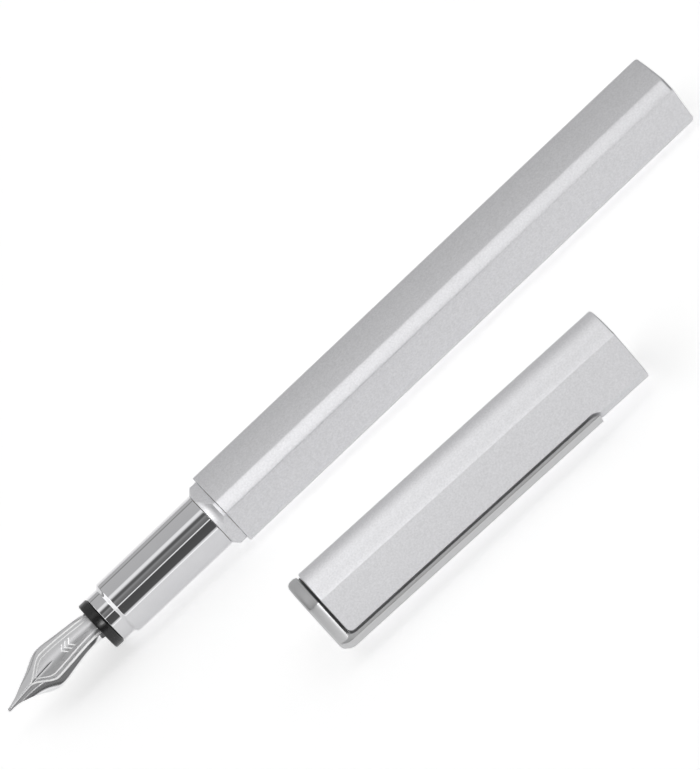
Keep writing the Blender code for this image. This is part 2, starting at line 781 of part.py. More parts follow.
def build_clip_arm(axis, polished):
    start = CLIP_STUB + SEAM
    tip = CAP_LENGTH - CLIP_TIP_TO_MOUTH
    middle = (CLIP_INNER + CLIP_OUTER) / 2
    half = CLIP_THICKNESS / 2
    arm = [
        (0.0, half),
        (0.0, -half),
        (tip - CLIP_TIP_SLANT - start, -half),
        (tip - CLIP_TIP_SLANT / 2 - start, -half * 0.6),
        (tip - CLIP_TIP_SLANT / 6 - start, half * 0.2),
        (tip - start, half),
    ]
    item = make_object("clip_arm", strip(arm, CLIP_WIDTH), polished, axis)
    out = (-math.sin(CLIP_ANGLE) * middle, math.cos(CLIP_ANGLE) * middle)
    item.location = (start, out[0], out[1])
    item.rotation_euler = (CLIP_ANGLE, 0.0, 0.0)


def main():
    clear_scene()
    aluminium = make_material("matte_aluminium", (0.62, 0.62, 0.63), 0.42, 1.0)
    chrome = make_material("polished_chrome", (0.72, 0.72, 0.74), 0.08, 1.0)
    steel = make_material("nib_steel", (0.6, 0.6, 0.61), 0.2, 1.0)
    satin = make_material("satin_steel", (0.62, 0.62, 0.63), 0.28, 1.0)
    brass = make_material("brass", (0.7, 0.55, 0.28), 0.3, 1.0)
    black = make_material("black_plastic", (0.02, 0.02, 0.022), 0.35)
    rubber = make_material("black_rubber", (0.015, 0.015, 0.016), 0.3)
    clear = make_material("clear_plastic", (0.75, 0.8, 0.84), 0.1)
    pen_axis = make_axis("pen_axis", (0.0, 0.0, BARREL_FLAT))
    cap_height = lowest_point(clip_sided(CAP_FLAT, CAP_RIDGE), CAP_ROLL)
    place = (CAP_X, CAP_Y, cap_height)
    cap_axis = make_axis("cap_axis", place, (CAP_ROLL, 0.0, CAP_YAW))
    build_barrel(pen_axis, aluminium, chrome)
    build_barrel_seal(pen_axis, rubber)
    build_collar(pen_axis, aluminium)
    build_grip(pen_axis, chrome, brass)
    build_ring(pen_axis, rubber)
    build_housing(pen_axis, black)
    build_nib(pen_axis, steel)
    build_feed(pen_axis, black)
    build_converter(pen_axis, black, clear, satin)
    build_knob(pen_axis, black)
    build_piston(pen_axis, black, rubber, satin)
    build_cap_shell(cap_axis, aluminium)
    build_inner_cap(cap_axis, black)
    build_clip(cap_axis, satin, black, brass)
    build_clip_arm(cap_axis, satin)


main()
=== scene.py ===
"""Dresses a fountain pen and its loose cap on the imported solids, in metres."""

import json
import logging
import math
from collections.abc import Sequence
from dataclasses import dataclass, field, replace
from enum import Enum
from functools import cached_property

import bmesh
import bpy
from bmesh.types import BMEdge, BMesh, BMVert
from mathutils import Matrix, Vector

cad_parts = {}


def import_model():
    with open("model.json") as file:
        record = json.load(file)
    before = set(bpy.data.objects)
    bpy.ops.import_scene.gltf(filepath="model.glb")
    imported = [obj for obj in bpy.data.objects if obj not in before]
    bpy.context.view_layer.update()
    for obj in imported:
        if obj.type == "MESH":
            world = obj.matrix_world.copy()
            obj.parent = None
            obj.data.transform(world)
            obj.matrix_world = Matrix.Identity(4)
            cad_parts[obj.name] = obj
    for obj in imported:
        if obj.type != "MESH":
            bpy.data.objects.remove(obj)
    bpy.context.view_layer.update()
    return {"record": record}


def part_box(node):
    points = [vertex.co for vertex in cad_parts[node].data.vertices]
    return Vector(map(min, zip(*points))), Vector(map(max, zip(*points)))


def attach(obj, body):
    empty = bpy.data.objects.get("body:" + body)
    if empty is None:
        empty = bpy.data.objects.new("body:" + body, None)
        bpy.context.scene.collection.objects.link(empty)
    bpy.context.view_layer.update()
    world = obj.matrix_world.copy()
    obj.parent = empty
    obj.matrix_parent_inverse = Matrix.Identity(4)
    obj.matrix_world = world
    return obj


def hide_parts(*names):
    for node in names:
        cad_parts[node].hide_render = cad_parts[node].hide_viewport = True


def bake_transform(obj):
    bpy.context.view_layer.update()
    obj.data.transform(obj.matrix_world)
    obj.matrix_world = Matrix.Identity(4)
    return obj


LOG = logging.getLogger("scene")
MM = 0.001
TINY = 1e-7
SEAM = 0.05 * MM
RUNNING_FIT = 0.08 * MM
NOISE_SPAN = (0.3, 0.7)
NOISE_ROUGHNESS = 0.6
SHARP_ANGLE = math.radians(30.0)
IMAGE_WIDTH, IMAGE_HEIGHT = 700, 770

Pair = tuple[float, float]
Point = tuple[float, float, float]
Colour = tuple[float, float, float]
Socket = bpy.types.NodeSocket


class Body(Enum):
    """Bodies that the pieces ride on."""

    BARREL = "barrel"
    SEAL = "seal"
    SECTION = "section"
    KNOB = "knob"
    PISTON = "piston"
    CAP = "cap"
    CLIP = "clip"


class Slot(Enum):
    """Material slots of the record."""

    MATTE_ALUMINIUM = "matte_aluminium"
    POLISHED_CHROME = "polished_chrome"
    NIB_STEEL = "nib_steel"
    SATIN_STEEL = "satin_steel"
    BRASS = "brass"
    BLACK_PLASTIC = "black_plastic"
    BLACK_RUBBER = "black_rubber"
    CLEAR_PLASTIC = "clear_plastic"


class Grain(Enum):
    """How a noise is stretched along the piece."""

    EVEN = (1.0, 1.0, 1.0)
    ALONG = (0.03, 1.0, 1.0)
    ROUND = (1.0, 0.04, 0.04)


class Side(Enum):
    """Sides of a four-sided outline, in quarter turns from +Y towards +Z."""

    BACK = 0
    TOP = 1
    FRONT = 2
    UNDER = 3


class Nodes:
    """Node tree that is added to step by step."""

    def __init__(self, tree: bpy.types.NodeTree) -> None:
        """Takes the tree to add to."""
        self.tree = tree

    def node(self, kind: str) -> bpy.types.Node:
        """Adds a node of one kind."""
        return self.tree.nodes.new(kind)

    def link(self, source: Socket, target: Socket) -> None:
        """Joins two sockets."""
        self.tree.links.new(source, target)

    def split(self, place: Socket) -> list[Socket]:
        """Splits coordinates.

        Args:
            place: the socket with the coordinates.

        Returns:
            The sockets with X, Y and Z.
        """
        node = self.node("ShaderNodeSeparateXYZ")
        self.link(place, node.inputs["Vector"])
        return [node.outputs[axis] for axis in "XYZ"]

    def between(self, value: Socket, span: Pair, result: Pair, smooth: bool = False) -> Socket:
        """Maps a value from one span to another.

        Args:
            value: the socket to read.
            span: values that count as its two ends.
            result: values given at the ends.
            smooth: whether the ends are eased.

        Returns:
            The socket with the mapped value.
        """
        mapped = self.node("ShaderNodeMapRange")
        mapped.interpolation_type = "SMOOTHSTEP" if smooth else "LINEAR"
        mapped.inputs["From Min"].default_value, mapped.inputs["From Max"].default_value = span
        mapped.inputs["To Min"].default_value, mapped.inputs["To Max"].default_value = result
        self.link(value, mapped.inputs["Value"])
        return mapped.outputs["Result"]

    def calc(self, operation: str, first: Socket, second: Socket | float = 0.0) -> Socket:
        """Adds one step of arithmetic.

        Args:
            operation: Blender's name of the operation.
            first: its first value.
            second: its second value, a socket or a number.

        Returns:
            The socket with the result.
        """
        step = self.node("ShaderNodeMath")
        step.operation = operation
        self.link(first, step.inputs[0])
        if isinstance(second, float):
            step.inputs[1].default_value = second
        else:
            self.link(second, step.inputs[1])
        return step.outputs["Value"]


class Recipe(Nodes):
    """Nodes of one material."""

    def __init__(self, name: str) -> None:
        """Starts from a plain Principled shader.

        Args:
            name: the material's name.
        """
        self.material = bpy.data.materials.new(name)
        self.material.use_nodes = True
        super().__init__(self.material.node_tree)
        self.shader = self.tree.nodes["Principled BSDF"]

    def set(self, socket: str, value: float | Colour) -> None:
        """Sets one of the shader's own sockets.

        Args:
            socket: the socket's name.
            value: a number, or a colour without alpha.
        """
        entry = self.shader.inputs[socket]
        entry.default_value = (*value, 1.0) if isinstance(value, tuple) else value

    def place(self, stretch: Grain = Grain.EVEN, turn: float = 0.0) -> Socket:
        """Gives the object's own coordinates.

        Args:
            stretch: how the pattern is drawn out along X.
            turn: roll of the pattern about X.

        Returns:
            The socket with the coordinates.
        """
        source = self.node("ShaderNodeTexCoord").outputs["Object"]
        mapping = self.node("ShaderNodeMapping")
        mapping.inputs["Scale"].default_value = stretch.value
        mapping.inputs["Rotation"].default_value = (turn, 0.0, 0.0)
        self.link(source, mapping.inputs["Vector"])
        return mapping.outputs["Vector"]

    def noise(self, place: Socket, size: float, detail: float = 3.0) -> Socket:
        """Adds a noise pattern.

        Args:
            place: coordinates to read.
            size: size of its patches in metres.
            detail: number of finer layers.

        Returns:
            The socket with the pattern, from 0 to 1.
        """
        noise = self.node("ShaderNodeTexNoise")
        noise.inputs["Scale"].default_value = 1.0 / size
        noise.inputs["Detail"].default_value = detail
        noise.inputs["Roughness"].default_value = NOISE_ROUGHNESS
        self.link(place, noise.inputs["Vector"])
        return noise.outputs["Fac"]

    def shades(self, value: Socket, dark: Colour | Socket, light: Colour) -> Socket:
        """Mixes two colours by a value.

        Args:
            value: the socket to read, from 0 to 1.
            dark: colour at 0, or a socket with it.
            light: colour at 1.

        Returns:
            The socket with the colour.
        """
        mix = self.node("ShaderNodeMix")
        mix.data_type = "RGBA"
        self.link(value, mix.inputs["Factor"])
        first, second = [entry for entry in mix.inputs if entry.type == "RGBA"]
        if isinstance(dark, tuple):
            first.default_value = (*dark, 1.0)
        else:
            self.link(dark, first)
        second.default_value = (*light, 1.0)
        return [entry for entry in mix.outputs if entry.type == "RGBA"][0]

    def paint(self, value: Socket, dark: Colour | Socket, light: Colour) -> None:
        """Colours the surface between two shades by a value."""
        self.link(self.shades(value, dark, light), self.shader.inputs["Base Color"])

    def roughen(self, pattern: Socket, limits: Pair) -> None:
        """Sets the roughness between two limits by a noise."""
        rough = self.between(pattern, NOISE_SPAN, limits)
        self.link(rough, self.shader.inputs["Roughness"])

    def bump(self, height: Socket, depth: float) -> None:
        """Raises the surface by a pattern.

        Args:
            height: the socket with the pattern.
            depth: height in metres of a full step of it.
        """
        bump = self.node("ShaderNodeBump")
        bump.inputs["Strength"].default_value = 1.0
        bump.inputs["Distance"].default_value = depth
        self.link(height, bump.inputs["Height"])
        self.link(bump.outputs["Normal"], self.shader.inputs["Normal"])


@dataclass(frozen=True, kw_only=True)
class Finish:
    """Surface that several pieces share."""

    slot: Slot | None = None
    dark: Colour
    light: Colour

    def mix(self, recipe: Recipe) -> None:
        """Fills the material's nodes."""
        raise NotImplementedError

    @cached_property
    def material(self) -> bpy.types.Material:
        """Material of the finish, made once.

        Returns:
            The material.
        """
        recipe = Recipe(type(self).__name__)
        self.mix(recipe)
        return recipe.material


@dataclass(frozen=True, kw_only=True)
class MarkedFinish(Finish):
    """Surface that fine marks roughen and raise, tinted by them or in patches."""

    roughness: Pair
    mark: float
    patch: float | None = None
    grain: Grain = Grain.EVEN
    metal: float = 0.0
    depth: float = 0.0

    def mix(self, recipe: Recipe) -> None:
        """Tints, roughens and raises the surface.

        Args:
            recipe: the material's nodes.
        """
        marks = recipe.noise(recipe.place(self.grain), self.mark)
        patches = marks if self.patch is None else recipe.noise(recipe.place(), self.patch)
        recipe.set("Metallic", self.metal)
        recipe.paint(patches, self.dark, self.light)
        recipe.roughen(marks, self.roughness)
        if self.depth:
            recipe.bump(marks, self.depth)


@dataclass(frozen=True, kw_only=True)
class BlastedAluminium(MarkedFinish):
    """Bead-blasted, anodised aluminium with a fine matte grain."""

    slot: Slot = Slot.MATTE_ALUMINIUM
    dark: Colour = (0.53, 0.529, 0.541)
    light: Colour = (0.77, 0.769, 0.786)
    roughness: Pair = (0.48, 0.53)
    clouding: Pair = (0.9, 1.0)
    mark: float = 0.26 * MM
    mark_detail: float = 2.0
    patch: float = 1.4 * MM
    metal: float = 1.0
    depth: float = 0.009 * MM

    def mix(self, recipe: Recipe) -> None:
        """Tints the surface by its grain, clouded in patches.

        Args:
            recipe: the material's nodes.
        """
        place = recipe.place()
        grain = recipe.noise(place, self.mark, self.mark_detail)
        cloud = recipe.noise(place, self.patch)
        recipe.set("Metallic", self.metal)
        clouding = recipe.between(cloud, NOISE_SPAN, self.clouding)
        recipe.paint(recipe.calc("MULTIPLY", grain, clouding), self.dark, self.light)
        recipe.roughen(cloud, self.roughness)
        recipe.bump(grain, self.depth)


@dataclass(frozen=True, kw_only=True)
class PolishedChrome(MarkedFinish):
    """Chrome plate with faint polishing marks round the piece."""

    slot: Slot = Slot.POLISHED_CHROME
    dark: Colour = (0.61, 0.61, 0.625)
    light: Colour = (0.65, 0.65, 0.66)
    roughness: Pair = (0.03, 0.07)
    mark: float = 0.25 * MM
    patch: float = 3.0 * MM
    grain: Grain = Grain.ROUND
    metal: float = 1.0
    depth: float = 0.0002 * MM


@dataclass(frozen=True, kw_only=True)
class SatinSteel(MarkedFinish):
    """Satin stainless steel, brushed along its length."""

    slot: Slot = Slot.SATIN_STEEL
    dark: Colour = (0.54, 0.54, 0.545)
    light: Colour = (0.62, 0.62, 0.625)
    roughness: Pair = (0.42, 0.52)
    mark: float = 0.1 * MM
    grain: Grain = Grain.ALONG
    metal: float = 1.0
    depth: float = 0.0008 * MM


@dataclass(frozen=True, kw_only=True)
class TurnedBrass(MarkedFinish):
    """Brass with the fine rings of the lathe and a patchy tint."""

    slot: Slot = Slot.BRASS
    dark: Colour = (0.6, 0.44, 0.19)
    light: Colour = (0.78, 0.6, 0.31)
    roughness: Pair = (0.18, 0.34)
    mark: float = 0.12 * MM
    patch: float = 2.4 * MM
    grain: Grain = Grain.ROUND
    metal: float = 1.0
    depth: float = 0.001 * MM


@dataclass(frozen=True, kw_only=True)
class MouldedPlastic(MarkedFinish):
    """Black moulded plastic with a fine spark-eroded texture."""

    slot: Slot = Slot.BLACK_PLASTIC
    dark: Colour = (0.012, 0.012, 0.013)
    light: Colour = (0.03, 0.03, 0.032)
    roughness: Pair = (0.32, 0.5)
    mark: float = 0.14 * MM
    depth: float = 0.004 * MM


@dataclass(frozen=True, kw_only=True)
class SmoothRubber(MarkedFinish):
    """Smooth black rubber with a soft gloss."""

    slot: Slot = Slot.BLACK_RUBBER
    dark: Colour = (0.004, 0.004, 0.004)
    light: Colour = (0.012, 0.012, 0.013)
    roughness: Pair = (0.2, 0.32)
    mark: float = 0.3 * MM
    depth: float = 0.002 * MM


@dataclass(frozen=True, kw_only=True)
class ClearPlastic(MarkedFinish):
    """Clear moulded plastic with a slight haze."""

    slot: Slot = Slot.CLEAR_PLASTIC
    dark: Colour = (0.86, 0.89, 0.92)
    light: Colour = (0.96, 0.97, 0.98)
    roughness: Pair = (0.03, 0.08)
    mark: float = 1.5 * MM
    refraction: float = 1.49

    def mix(self, recipe: Recipe) -> None:
        """Makes the surface clear, with its haze.

        Args:
            recipe: the material's nodes.
        """
        super().mix(recipe)
        recipe.set("Transmission Weight", 1.0)
        recipe.set("IOR", self.refraction)


@dataclass(frozen=True, kw_only=True)
class NibSteel(Finish):
    """Polished nib steel with engraved border lines and small chevrons, the lines painted
    near-white as a painted highlight.

    Places along the nib are shares of its length, and places across it shares of its half width.
    """

    slot: Slot = Slot.NIB_STEEL
    dark: Colour = (0.68, 0.68, 0.69)
    light: Colour = (0.76, 0.76, 0.77)
    # Colour of the engraved lines: near-white, a painted highlight for the light that the cut
    # catches.
    cut: Colour = (0.97, 0.97, 0.97)
    roughness: Pair = (0.1, 0.17)
    panel_roughness: float = 0.16
    line_roughness: float = 0.5
    # The engraved lines are nearly non-metallic so that their painted highlight shows.
    line_metal: float = 0.1
    mark: float = 0.1 * MM
    line: float = 0.13 * MM
    line_fade: Pair = (0.6, 1.3)
    depth: float = 0.02 * MM
    roll: float = math.radians(27.0)
    height: float = 4.8 * MM
    tip: float = -81.85 * MM
    length: float = 16.5 * MM
    half: float = 2.6 * MM
    border_start: float = 0.26
    border_shoulder: float = 0.5
    border_reach: float = 0.82
    border_narrowing: float = 0.2
    inner_gap: float = 0.24
    inner_line: float = 0.6
    chevron_places: tuple[float, ...] = (0.66, 0.7, 0.74)
    chevron_slope: float = 0.8
    chevron_ends: Pair = (0.26, 0.3)
    chevron_line: float = 0.8

    @property
    def start(self) -> float:
        """Distance from the tip at which the border lines meet."""
        return self.border_start * self.length

    def mix(self, recipe: Recipe) -> None:
        """Engraves the lines, painted near-white as a painted highlight, and polishes the steel
        round them.

        Args:
            recipe: the material's nodes.
        """
        along, across, _ = recipe.split(self.place(recipe))
        side = recipe.calc("ABSOLUTE", across)
        reach = self.reach(recipe, along)
        shown = recipe.between(along, (self.start, self.start + self.line), (0.0, 1.0))
        lines = recipe.calc("MULTIPLY", self.border(recipe, reach, side), shown)
        lines = recipe.calc("MAXIMUM", lines, self.chevrons(recipe, along, side))
        inside = recipe.between(recipe.calc("SUBTRACT", reach, side), (0.0, self.line), (0.0, 1.0))
        panel = recipe.calc("MULTIPLY", inside, shown)
        marks = recipe.noise(recipe.place(Grain.ALONG, self.roll), self.mark)
        metal = recipe.between(lines, (0.0, 1.0), (1.0, self.line_metal))
        recipe.link(metal, recipe.shader.inputs["Metallic"])
        # The engraved lines take the near-white colour, a painted highlight.
        recipe.paint(lines, recipe.shades(marks, self.dark, self.light), self.cut)
        rough = recipe.between(marks, NOISE_SPAN, self.roughness)
        rough = recipe.calc("ADD", rough, recipe.calc("MULTIPLY", panel, self.panel_roughness))
        rough = recipe.calc("ADD", rough, recipe.calc("MULTIPLY", lines, self.line_roughness))
        recipe.link(rough, recipe.shader.inputs["Roughness"])
        recipe.bump(lines, -self.depth)

    def place(self, recipe: Recipe) -> Socket:
        """Gives coordinates that start at the nib's tip and roll with it.

        Args:
            recipe: the material's nodes.

        Returns:
            The socket with the coordinates.
        """
        source = recipe.node("ShaderNodeTexCoord").outputs["Object"]
        mapping = recipe.node("ShaderNodeMapping")
        mapping.vector_type = "TEXTURE"
        mapping.inputs["Location"].default_value = (self.tip, 0.0, self.height)
        mapping.inputs["Rotation"].default_value = (self.roll, 0.0, 0.0)
        recipe.link(source, mapping.inputs["Vector"])
        return mapping.outputs["Vector"]

    def stroke(self, recipe: Recipe, value: Socket, width: float) -> Socket:
        """Draws a line where a value passes through zero.

        Args:
            recipe: the material's nodes.
            value: the socket to read, in metres.
            width: half of the line's width.

        Returns:
            The socket with the line, 1 in its middle.
        """
        span = (width * self.line_fade[0], width * self.line_fade[1])
        return recipe.between(recipe.calc("ABSOLUTE", value), span, (1.0, 0.0), True)

    def reach(self, recipe: Recipe, along: Socket) -> Socket:
        """Gives half the width of the panel between the border lines.

        Args:
            recipe: the material's nodes.
            along: distance from the nib's tip.

        Returns:
            The socket with the half width.
        """
        shoulder = self.border_shoulder * self.length
        wide, narrowing = self.border_reach * self.half, self.border_narrowing * self.half
        opening = recipe.between(along, (self.start, shoulder), (0.0, wide), True)
        closing = recipe.between(along, (shoulder, self.length), (0.0, -narrowing), True)
        return recipe.calc("ADD", opening, closing)

    def border(self, recipe: Recipe, reach: Socket, side: Socket) -> Socket:
        """Draws the two border lines that meet in a point above the slit.

        Args:
            recipe: the material's nodes.
            reach: half the width of the panel between them.
            side: distance from the nib's middle line.

        Returns:
            The socket with the lines.
        """
        line = self.stroke(recipe, recipe.calc("SUBTRACT", side, reach), self.line)
        inner = recipe.calc("SUBTRACT", reach, self.inner_gap * self.half)
        width = self.line * self.inner_line
        second = self.stroke(recipe, recipe.calc("SUBTRACT", side, inner), width)
        return recipe.calc("MAXIMUM", line, second)

    def chevrons(self, recipe: Recipe, along: Socket, side: Socket) -> Socket:
        """Draws nested chevrons behind the slit's end.

        Args:
            recipe: the material's nodes.
            along: distance from the nib's tip.
            side: distance from its middle line.

        Returns:
            The socket with the chevrons.
        """
        slope = recipe.calc("SUBTRACT", along, recipe.calc("MULTIPLY", side, self.chevron_slope))
        first, last = self.chevron_ends
        inside = recipe.between(side, (first * self.half, last * self.half), (1.0, 0.0))
        lines = None
        for place in self.chevron_places:
            shifted = recipe.calc("SUBTRACT", slope, place * self.length)
            line = self.stroke(recipe, shifted, self.line * self.chevron_line)
            lines = line if lines is None else recipe.calc("MAXIMUM", lines, line)
        return recipe.calc("MULTIPLY", lines, inside)


@dataclass(frozen=True, kw_only=True)
class StudioPaper(Finish):
    """White paper on a light table."""

    dark: Colour = (0.9, 0.9, 0.9)
    light: Colour = (0.93, 0.93, 0.93)
    fibre: float = 4.0 * MM
    glow: float = 0.56

    def mix(self, recipe: Recipe) -> None:
        """Makes the paper matte and lit from below.

        Args:
            recipe: the material's nodes.
        """
        recipe.set("Roughness", 1.0)
        recipe.set("Specular IOR Level", 0.0)
        recipe.set("Emission Color", (1.0, 1.0, 1.0))
        recipe.set("Emission Strength", self.glow)
        recipe.paint(recipe.noise(recipe.place(), self.fibre), self.dark, self.light)


def line_of(
    shape: BMesh, places: Sequence[Point], closed: bool = True
) -> tuple[list[BMVert], list[BMEdge]]:
    """Starts a shape with a line of points.

    Args:
        shape: the shape to add to.
        places: places of the points.
        closed: whether the line runs back to its start.

    Returns:
        The points and the edges between them.
    """
    points = [shape.verts.new(place) for place in places]
    ends = points[1:] + points[:1] if closed else points[1:]
    return points, [shape.edges.new(pair) for pair in zip(points, ends)]


def close_ends(shape: BMesh) -> None:
    """Fills a shape's open ends."""
    open_edges = [edge for edge in shape.edges if edge.is_boundary]
    bmesh.ops.holes_fill(shape, edges=open_edges, sides=0)


def turned(profile: Sequence[Pair], steps: int = 96, closed: bool = True) -> BMesh:
    """Turns a line of points about the X axis.

    Args:
        profile: points as (x, radius).
        steps: sides of the round.
        closed: whether the line runs back to its start.

    Returns:
        The turned shape.
    """
    shape = bmesh.new()
    points, lines = line_of(shape, [(x, 0.0, radius) for x, radius in profile], closed)
    bmesh.ops.spin(
        shape,
        geom=points + lines,
        cent=(0.0, 0.0, 0.0),
        axis=(1.0, 0.0, 0.0),
        angle=math.tau,
        steps=steps,
        use_merge=True,
    )
    bmesh.ops.remove_doubles(shape, verts=shape.verts, dist=TINY)
    bmesh.ops.recalc_face_normals(shape, faces=shape.faces)
    return shape


def drawn(rows: Sequence[Sequence[Point]], looped: bool = True, capped: bool = False) -> BMesh:
    """Draws a line of edges out of itself, row by row.

    Args:
        rows: places of the line's points in each row.
        looped: whether the line is a closed ring.
        capped: whether the first and last rings are filled.

    Returns:
        The drawn shape.
    """
    shape = bmesh.new()
    index = shape.verts.layers.int.new("index")
    points, lines = line_of(shape, rows[0], looped)
    for number, point in enumerate(points):
        point[index] = number
    for row in rows[1:]:
        grown = bmesh.ops.extrude_edge_only(shape, edges=lines)["geom"]
        lines = [part for part in grown if isinstance(part, BMEdge)]
        for point in grown:
            if isinstance(point, BMVert):
                point.co = row[point[index]]
    bmesh.ops.remove_doubles(shape, verts=shape.verts, dist=TINY)
    bmesh.ops.dissolve_degenerate(shape, edges=shape.edges, dist=TINY)
    if capped:
        close_ends(shape)
    bmesh.ops.recalc_face_normals(shape, faces=shape.faces)
    return shape


def soften(shape: BMesh, amount: float, over: float = 22.0, segments: int = 3) -> BMesh:
    """Rounds the edges that are sharper than an angle.

    Args:
        shape: the shape to change.
        amount: how far the round reaches from each edge.
        over: the angle in degrees.
        segments: faces across the round.

    Returns:
        The same shape.
    """
    limit = math.radians(over)
    paired = [edge for edge in shape.edges if len(edge.link_faces) == 2]
    bmesh.ops.bevel(
        shape,
        geom=[edge for edge in paired if edge.calc_face_angle() > limit],
        offset=amount,
        offset_type="OFFSET",
        segments=segments,
        profile=0.5,
        affect="EDGES",
        clamp_overlap=True,
        material=-1,
    )
    return shape


def rolled(shape: BMesh, angle: float) -> BMesh:
    """Rolls a shape about X and gives it back."""
    bmesh.ops.rotate(shape, verts=shape.verts, matrix=Matrix.Rotation(angle, 3, "X"))
    return shape


def arc(centre: Pair, radius: float, first: float, last: float, steps: int) -> list[Pair]:
    """Gives points on an arc.

    Args:
        centre: middle of the arc.
        radius: its radius.
        first: angle of its first point in degrees.
        last: angle of its last point in degrees.
        steps: number of steps between them.

    Returns:
        The points.
    """
    found = []
    for step in range(steps + 1):
        angle = math.radians(first + (last - first) * step / steps)
        found.append((centre[0] + radius * math.cos(angle), centre[1] + radius * math.sin(angle)))
    return found


def eased(stations: Sequence[Pair], place: float) -> float:
    """Reads a smooth curve through stations.

    Args:
        stations: (place, value) pairs in order.
        place: where to read.

    Returns:
        The curve's value there.
    """
    last = len(stations) - 1
    for number in range(last):
        before, after = stations[number], stations[number + 1]
        if place <= after[0] or number == last - 1:
            break
    span = after[0] - before[0]
    share = min(max((place - before[0]) / span, 0.0), 1.0)
    earlier, later = stations[max(number - 1, 0)], stations[min(number + 2, last)]
    start = (after[1] - earlier[1]) / (after[0] - earlier[0]) * span
    end = (later[1] - before[1]) / (later[0] - before[0]) * span
    square, cube = share**2, share**3
    value = (2 * cube - 3 * square + 1) * before[1] + (cube - 2 * square + share) * start
    return value + (3 * square - 2 * cube) * after[1] + (cube - square) * end


@dataclass(frozen=True)
class FourSided:
    """Outline of faintly crowned sides whose corners lie on a circle.

    A side that isn't among the flats follows the circle, and a level one has no crown.
    """

    flat: float
    ridge: float
    crown: float = 0.05 * MM
    flats: tuple[Side, ...] = tuple(Side)
    level: tuple[Side, ...] = ()
    side_steps: int = 12
    corner_steps: int = 8

    def outline(self) -> list[Pair]:
        """Gives the outline, side by side.

        Returns:
            Its points, as (y, z).
        """
        lean = math.acos((self.flat - self.crown) / self.ridge)
        width, corner = self.ridge * math.sin(lean), math.degrees(lean)
        corners = arc((0.0, 0.0), self.ridge, corner, 90.0 - corner, self.corner_steps)[:-1]
        found = []
        for side in Side:
            turn = Matrix.Rotation(math.radians(90.0 * side.value), 2)
            for step in range(self.side_steps):
                across = -1.0 + 2.0 * step / self.side_steps
                drop = self.crown if side in self.level else self.crown * across**2
                place = Vector((self.flat - drop, width * across))
                if side not in self.flats:
                    place = Matrix.Rotation(lean * across, 2) @ Vector((self.ridge, 0.0))
                found.append(turn @ place)
            found += [turn @ Vector(place) for place in corners]
        return [(place[0], place[1]) for place in found]

    def ring(self, x: float, inset: float = 0.0) -> list[Point]:
        """Gives the outline at one x, pulled in by an inset."""
        smaller = replace(self, flat=self.flat - inset, ridge=self.ridge - inset)
        return [(x, y, z) for y, z in smaller.outline()]

    def circle(self, x: float, radius: float) -> list[Point]:
        """Gives a circle at one x, with a point for each of the outline's."""
        angles = [math.atan2(z, y) for y, z in self.outline()]
        return [(x, radius * math.cos(angle), radius * math.sin(angle)) for angle in angles]


@dataclass
class SubAssembly:
    """Pieces that are built about one axis."""

    axis: Matrix
    pieces: list[bpy.types.Object] = field(default_factory=list, init=False)

    def piece(
        self,
        name: str,
        shape: BMesh,
        finish: Finish,
        body: Body | None,
        nodes: Sequence[str],
        weighted: bool = False,
    ) -> bpy.types.Object:
        """Makes a shape a piece of the scene.

        Args:
            name: the piece's name.
            shape: its shape about the axis.
            finish: its finish.
            body: the body it rides on, or None where it rides on none.
            nodes: solids that it stands for.
            weighted: whether its broad faces keep flat shading beside rounded edges.

        Returns:
            The piece.
        """
        bmesh.ops.transform(shape, matrix=self.axis, verts=shape.verts)
        mesh = bpy.data.meshes.new(name)
        shape.to_mesh(mesh)
        shape.free()
        mesh.shade_smooth()
        mesh.set_sharp_from_angle(angle=SHARP_ANGLE)
        mesh.materials.append(finish.material)
        item = bpy.data.objects.new(name, mesh)
        bpy.context.scene.collection.objects.link(item)
        if body is not None:
            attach(item, body.value)
        if nodes:
            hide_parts(*nodes)
        if weighted:
            weigh_normals(item)
        self.pieces.append(item)
        return item


def weigh_normals(item: bpy.types.Object, weight: int = 80) -> None:
    """Keeps the shading of broad faces flat beside their rounded edges.

    Args:
        item: the piece.
        weight: how far broad faces outweigh narrow ones.
    """
    step = item.modifiers.new("weighted_normals", "WEIGHTED_NORMAL")
    step.keep_sharp = True
    step.weight = weight


def carve(item: bpy.types.Object, shape: BMesh, axis: Matrix) -> None:
    """Cuts a shape out of a piece.

    Args:
        item: the piece.
        shape: the shape to cut away, about its axis.
        axis: place of that axis.
    """
    bmesh.ops.transform(shape, matrix=axis, verts=shape.verts)
    bmesh.ops.recalc_face_normals(shape, faces=shape.faces)
    mesh = bpy.data.meshes.new("cutter")
    shape.to_mesh(mesh)
    shape.free()
    cutter = bpy.data.objects.new("cutter", mesh)
    bpy.context.scene.collection.objects.link(cutter)
    step = item.modifiers.new("cut", "BOOLEAN")
    step.operation = "DIFFERENCE"
    step.solver = "EXACT"
    step.object = cutter
    bpy.context.view_layer.update()
    found = item.evaluated_get(bpy.context.evaluated_depsgraph_get())
    result = bpy.data.meshes.new_from_object(found)
    item.modifiers.remove(step)
    item.data = result
    item.data.set_sharp_from_angle(angle=SHARP_ANGLE)
    bpy.data.objects.remove(cutter)
    bpy.data.meshes.remove(mesh)


